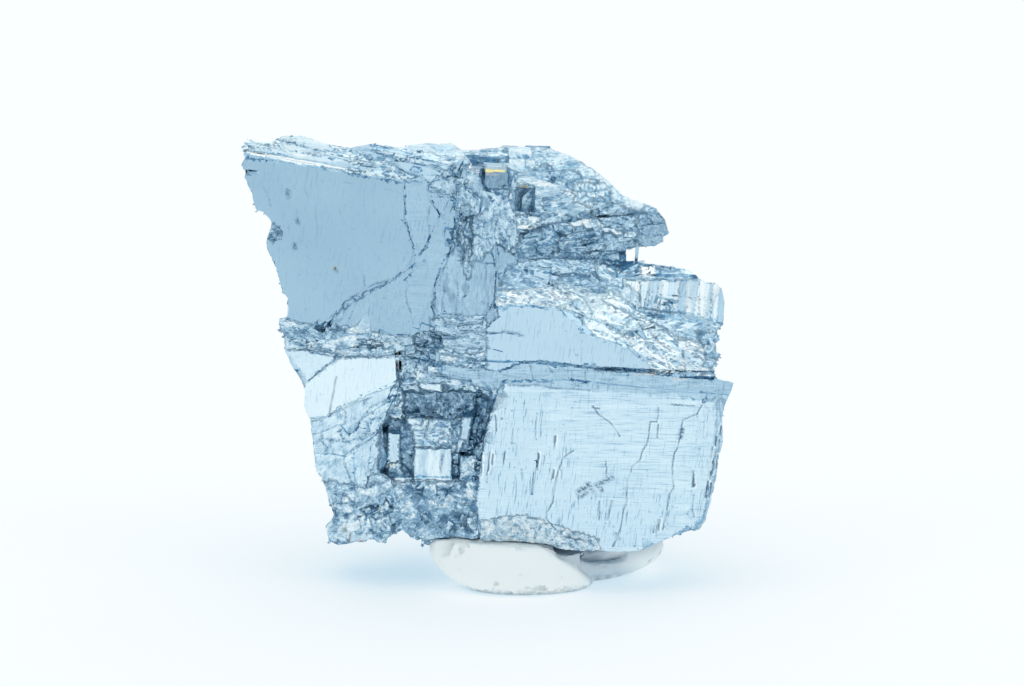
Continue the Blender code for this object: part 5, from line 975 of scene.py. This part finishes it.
def stibnite():
    # Stibnite as it cleaves: mirror-bright blue-grey plates, glittering and darker where it has crumbled
    material, tree = newMaterial("stibnite, cleaved")
    place = addNode(tree, "TexCoord").outputs["Object"]
    flow = addNode(tree, "Attribute", {"attribute_name": "flow"}).outputs["Vector"]
    tarnishAndGlint = addNode(tree, "Attribute", {"attribute_name": "tarnishAndGlint"})
    parts = {name: addNode(tree, "Attribute", {"attribute_name": name}).outputs["Fac"]
             for name in ("tone", "grain", "streak", "wear", "cleft")}

    # a slow wave over the plates, a few mm across, in their shape and in their brightness
    wave = addNode(tree, "TexNoise", {"Scale": 1 / (crystal["waveSize"] * mm), "Detail": 1},
                   {"Vector": place})
    height = addNode(tree, "Math", {"operation": "MULTIPLY", 1: crystal["wave"] * mm}, {0: wave})
    change = addNode(tree, "Math", {
        "operation": "MULTIPLY_ADD", 1: crystal["waveTone"], 2: 1 - crystal["waveTone"] / 2}, {0: wave})

    # flat facets of broken ore, each tilted and toned in its own way; the brightest few are painted glints
    for facet in facets.values():
        cells = addNode(tree, "TexVoronoi", {"Scale": facet["cells"]}, {"Vector": flow})
        own = addNode(tree, "VectorMath", {"operation": "SUBTRACT", 1: (0.5, 0.5, 0.5)},
                      {0: cells.outputs["Color"]})
        local = addNode(tree, "VectorMath", {"operation": "SUBTRACT"},
                        {0: flow, 1: cells.outputs["Position"]})
        tilt = addNode(tree, "VectorMath", {"operation": "DOT_PRODUCT"}, {0: own, 1: local})
        rough = addNode(tree, "Math", {"operation": "MULTIPLY"},
                        {0: tilt.outputs["Value"], 1: parts["grain"]})
        height = addNode(tree, "Math", {"operation": "MULTIPLY_ADD", 1: facet["relief"] * mm},
                         {0: rough, 2: height})
        lot = addNode(tree, "SeparateXYZ", links={0: cells.outputs["Color"]})
        level = addNode(tree, "ValToRGB", links={0: lot.outputs[2]}, stops=greys(facet["levels"]))
        uneven = addNode(tree, "Math", {"operation": "SUBTRACT", 1: 0.5}, {0: level})
        shown = addNode(tree, "Math", {"operation": "MULTIPLY"}, {0: uneven, 1: parts["grain"]})
        change = addNode(tree, "Math", {"operation": "MULTIPLY_ADD", 1: facet["contrast"]},
                         {0: shown, 2: change})

    # growth lines, scratches and specks, each kind where its part of the surface has it
    for mark in marks.values():
        turned = addNode(tree, "Mapping", {
            "vector_type": "TEXTURE", "Rotation": (0, math.radians(mark["turn"]), 0),
            "Scale": (mark["length"], 1, 1)}, {"Vector": place})
        pattern = addNode(tree, "TexNoise", {
            "Scale": 1 / (mark["size"] * mm), "Detail": mark["detail"]}, {"Vector": turned})
        band = addNode(tree, "ValToRGB", links={0: pattern},
                       stops=greys([(mark["from"], 0), (mark["to"], 1)]))
        shown = addNode(tree, "Math", {"operation": "MULTIPLY"}, {0: band, 1: parts[mark["where"]]})
        height = addNode(tree, "Math", {"operation": "MULTIPLY_ADD", 1: mark["relief"] * mm},
                         {0: shown, 2: height})
        change = addNode(tree, "Math", {"operation": "MULTIPLY_ADD", 1: mark["tone"]}, {0: shown, 2: change})

    bump = addNode(tree, "Bump", {"Strength": 1, "Distance": 1}, {"Height": height})
    toned = addNode(tree, "Math", {"operation": "MULTIPLY"}, {0: parts["tone"], 1: change})
    brightest = crystal["metal"][-1][0]
    scaled = addNode(tree, "Math", {"operation": "DIVIDE", 1: brightest}, {0: toned})
    metal = addNode(tree, "ValToRGB", links={0: scaled}, stops=[
        (level / brightest, fromHex(code)) for level, code in crystal["metal"]])
    cracked = addNode(tree, "Mix", {"data_type": "RGBA", 7: fromHex(crystal["cleft"])},
                      {0: parts["cleft"], 6: metal})
    # stains, and the painted highlights of glinting facets, over the metal
    tarnishedAndGlinting = addNode(tree, "Mix", {"data_type": "RGBA"},
                        {0: tarnishAndGlint.outputs["Alpha"], 6: cracked.outputs[2], 7: tarnishAndGlint.outputs["Color"]})
    dull = addNode(tree, "Math", {"operation": "MULTIPLY_ADD", 1: crystal["dull"], 2: crystal["gloss"]},
                   {0: parts["grain"]})
    shader = addNode(tree, "BsdfPrincipled", {"Metallic": 1}, {
        "Base Color": tarnishedAndGlinting.outputs[2], "Roughness": dull, "Normal": bump})
    addNode(tree, "OutputMaterial", links={"Surface": shader})
    return material


def copyOf(name, node):
    # a copy of a solid's mesh, merged, to be worked on
    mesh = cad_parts[node].data.copy()
    mesh.materials.clear()
    for layer in ("sharp_face", "custom_normal"):
        if layer in mesh.attributes:
            mesh.attributes.remove(mesh.attributes[layer])
    piece = bpy.data.objects.new(name, mesh)
    bpy.context.scene.collection.objects.link(piece)
    work = bmesh.new()
    work.from_mesh(mesh)
    bmesh.ops.remove_doubles(work, verts=work.verts[:], dist=detail["merge"] * mm)
    bmesh.ops.dissolve_limit(work, angle_limit=math.radians(detail["flat"]), verts=work.verts[:],
                             edges=work.edges[:])
    bmesh.ops.triangulate(work, faces=work.faces[:], quad_method="BEAUTY", ngon_method="BEAUTY")
    work.to_mesh(mesh)
    work.free()
    return piece


def fillGap(mesh):
    # a lump of ore deep in the gap beside the crown, where nothing else stops the view
    work = bmesh.new()
    work.from_mesh(mesh)
    place = Matrix.LocRotScale(Vector(lump["at"]) * mm, Euler([math.radians(turn) for turn in lump["turn"]]),
                               Vector(lump["size"]) * mm)
    bmesh.ops.create_cube(work, size=1, matrix=place)
    bmesh.ops.triangulate(work, faces=[face for face in work.faces if len(face.verts) > 3])
    work.to_mesh(mesh)
    work.free()


def makeCrystal():
    piece = copyOf("crystal", "stibnite_crystal")
    mesh = piece.data
    fillGap(mesh)
    refine(mesh, detail["firstRounds"])
    markSeen(mesh)
    refine(mesh, detail["rounds"])
    shapeCrystal(mesh)
    mesh.attributes.remove(mesh.attributes["seen"])
    mesh.polygons.foreach_set("use_smooth", [False] * len(mesh.polygons))
    mesh.materials.append(stibnite())
    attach(piece, "root")
    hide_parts("stibnite_crystal")


makeCrystal()

# The putty, in mm: how fine its mesh is, its smoothing, its smears, spots and dents, and up to about what
# height it is soiled and shaded, with darker spots that are partly soil and partly painted contact shade.
# Wherever the stone is less than gap above the putty's front lobe, which goes no further right than lobe,
# the putty is pressed up against it. Rising and facing are how squarely a point has to look up or at the
# view to be pressed or folded.
putty = {
    "voxel": 0.25,
    "smoothing": 5,
    "gap": 1.6,
    "lobe": 6.8,
    "rising": 0.2,
    "facing": 0.1,
    "crease": 0.6,
    "smear": 1.6,
    "spots": 0.5,
    "dents": 0.06,
    "soiledAndShaded": 1.3,
    "roughness": 0.6,
    "white": "f6f8f6",
    "grime": "c4cccd",
    "foldShade": "ccd6dc",
    "soilAndShade": "a9b4b8",
}
# The folds pressed into its front. A fold is drawn on the plane of the view, from its upper end. Its crease
# goes width to each side and is crease times its depth deep, and the side above it sinks as far as reach.
# The crease and the sunk side take the darker fold colour, which is painted shade.
folds = [
    {"depth": 0.5, "width": 0.5, "reach": 4.5,
     "drawn": [(2.7, -18.1), (3.3, -18.6), (4.7, -19.6), (6.2, -20.5), (7.3, -21.5), (8.2, -22.6)]},
    {"depth": 0.15, "width": 0.3, "reach": 0.6,
     "drawn": [(4.4, -18.8), (5.8, -19.5), (7.3, -19.8), (8.4, -20.6)]},
    {"depth": 1.4, "width": 0.6, "reach": 0.7, "drawn": [(7, -19.2), (8.6, -19.7), (9.9, -19.5)]},
    {"depth": 0.15, "width": 0.3, "reach": 0.6, "drawn": [(8, -20.4), (9.1, -20.9), (9.9, -21.8)]},
]


def mountingPutty():
    # Mounting putty: a soft white mass pressed by hand, matt, with smears of grime, painted shade in its
    # folds and darker spots towards its foot, partly soil and partly painted contact shade
    material, tree = newMaterial("mounting putty, hand pressed")
    place = addNode(tree, "TexCoord").outputs["Object"]
    fold = addNode(tree, "Attribute", {"attribute_name": "fold"}).outputs["Fac"]
    smear = addNode(tree, "TexNoise", {"Scale": 1 / (putty["smear"] * mm), "Detail": 6}, {"Vector": place})
    colour = addNode(tree, "ValToRGB", links={0: smear}, stops=[
        (0.3, fromHex(putty["grime"])), (0.4, fromHex(putty["white"]))])
    # painted shade in the folds
    folded = addNode(tree, "Mix", {"data_type": "RGBA", 7: fromHex(putty["foldShade"])}, {0: fold, 6: colour})
    height = addNode(tree, "SeparateXYZ", links={0: place}).outputs["Z"]
    # darker spots, more of them towards the foot: partly soil, partly painted contact shade
    low = addNode(tree, "Math", {"operation": "DIVIDE", 1: putty["soiledAndShaded"] * mm}, {0: height})
    spots = addNode(tree, "TexNoise", {"Scale": 1 / (putty["spots"] * mm), "Detail": 3}, {"Vector": place})
    soilAndShade = addNode(tree, "Math", {"operation": "SUBTRACT"}, {0: spots, 1: low})
    shown = addNode(tree, "ValToRGB", links={0: soilAndShade}, stops=greys([(0, 0), (0.55, 1)]))
    soiledAndShaded = addNode(tree, "Mix", {"data_type": "RGBA", 7: fromHex(putty["soilAndShade"])},
                     {0: shown, 6: folded.outputs[2]})
    dents = addNode(tree, "Math", {"operation": "MULTIPLY", 1: putty["dents"] * mm}, {0: smear})
    bump = addNode(tree, "Bump", {"Strength": 1, "Distance": 1}, {"Height": dents})
    shader = addNode(tree, "BsdfPrincipled", {"Roughness": putty["roughness"]}, {
        "Base Color": soiledAndShaded.outputs[2], "Normal": bump})
    addNode(tree, "OutputMaterial", links={"Surface": shader})
    return material


def pressUp(mesh):
    tree = surfaceTree(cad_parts["stibnite_crystal"].data)
    places, normals = pointsOf(mesh)
    top = places[:, 2].max()
    under = (normals[:, 2] > putty["rising"]) & (drawn(places)[:, 0] < putty["lobe"])
    for i in under.nonzero()[0]:
        hit = tree.ray_cast(Vector(places[i]), Vector((0, 0, 1)))[0]
        if hit is not None and hit.z - places[i, 2] < putty["gap"] * mm:
            places[i, 2] = min(hit.z, top)
    movePoints(mesh, places)


def foldPutty(mesh):
    places, normals = pointsOf(mesh)
    front = normals @ -ahead > putty["facing"]
    spots = drawn(places)
    deep = np.zeros(len(places))
    foldShade = np.zeros(len(places))
    for fold in folds:
        near, far, side = besideLine(fold["drawn"], spots, fold["reach"])
        crease = np.clip(1 - far / fold["width"], 0, 1)
        behind = np.where(side > 0, 1 - far / fold["reach"], 0)
        deep[near] += fold["depth"] * np.maximum(crease * putty["crease"], behind)
        # how much of the painted fold shade a point takes
        foldShade[near] = np.maximum(foldShade[near], np.maximum(crease, np.clip(behind * 2, 0, 1)))
    places -= normals * (np.where(front, deep, 0) * mm)[:, None]
    movePoints(mesh, places)
    keep(mesh, "fold", np.where(front, foldShade, 0))


def makePutty():
    piece = copyOf("putty", "mounting_putty")
    bpy.context.view_layer.objects.active = piece
    remesh = piece.modifiers.new("remesh", "REMESH")
    remesh.mode = "VOXEL"
    remesh.voxel_size = putty["voxel"] * mm
    bpy.ops.object.modifier_apply(modifier="remesh")
    pressUp(piece.data)
    smooth = piece.modifiers.new("smooth", "SMOOTH")
    smooth.iterations = putty["smoothing"]
    bpy.ops.object.modifier_apply(modifier="smooth")
    foldPutty(piece.data)
    piece.data.polygons.foreach_set("use_smooth", [True] * len(piece.data.polygons))
    piece.data.materials.append(mountingPutty())
    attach(piece, "root")
    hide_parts("mounting_putty")
    print("putty pressed")


makePutty()

print("done")
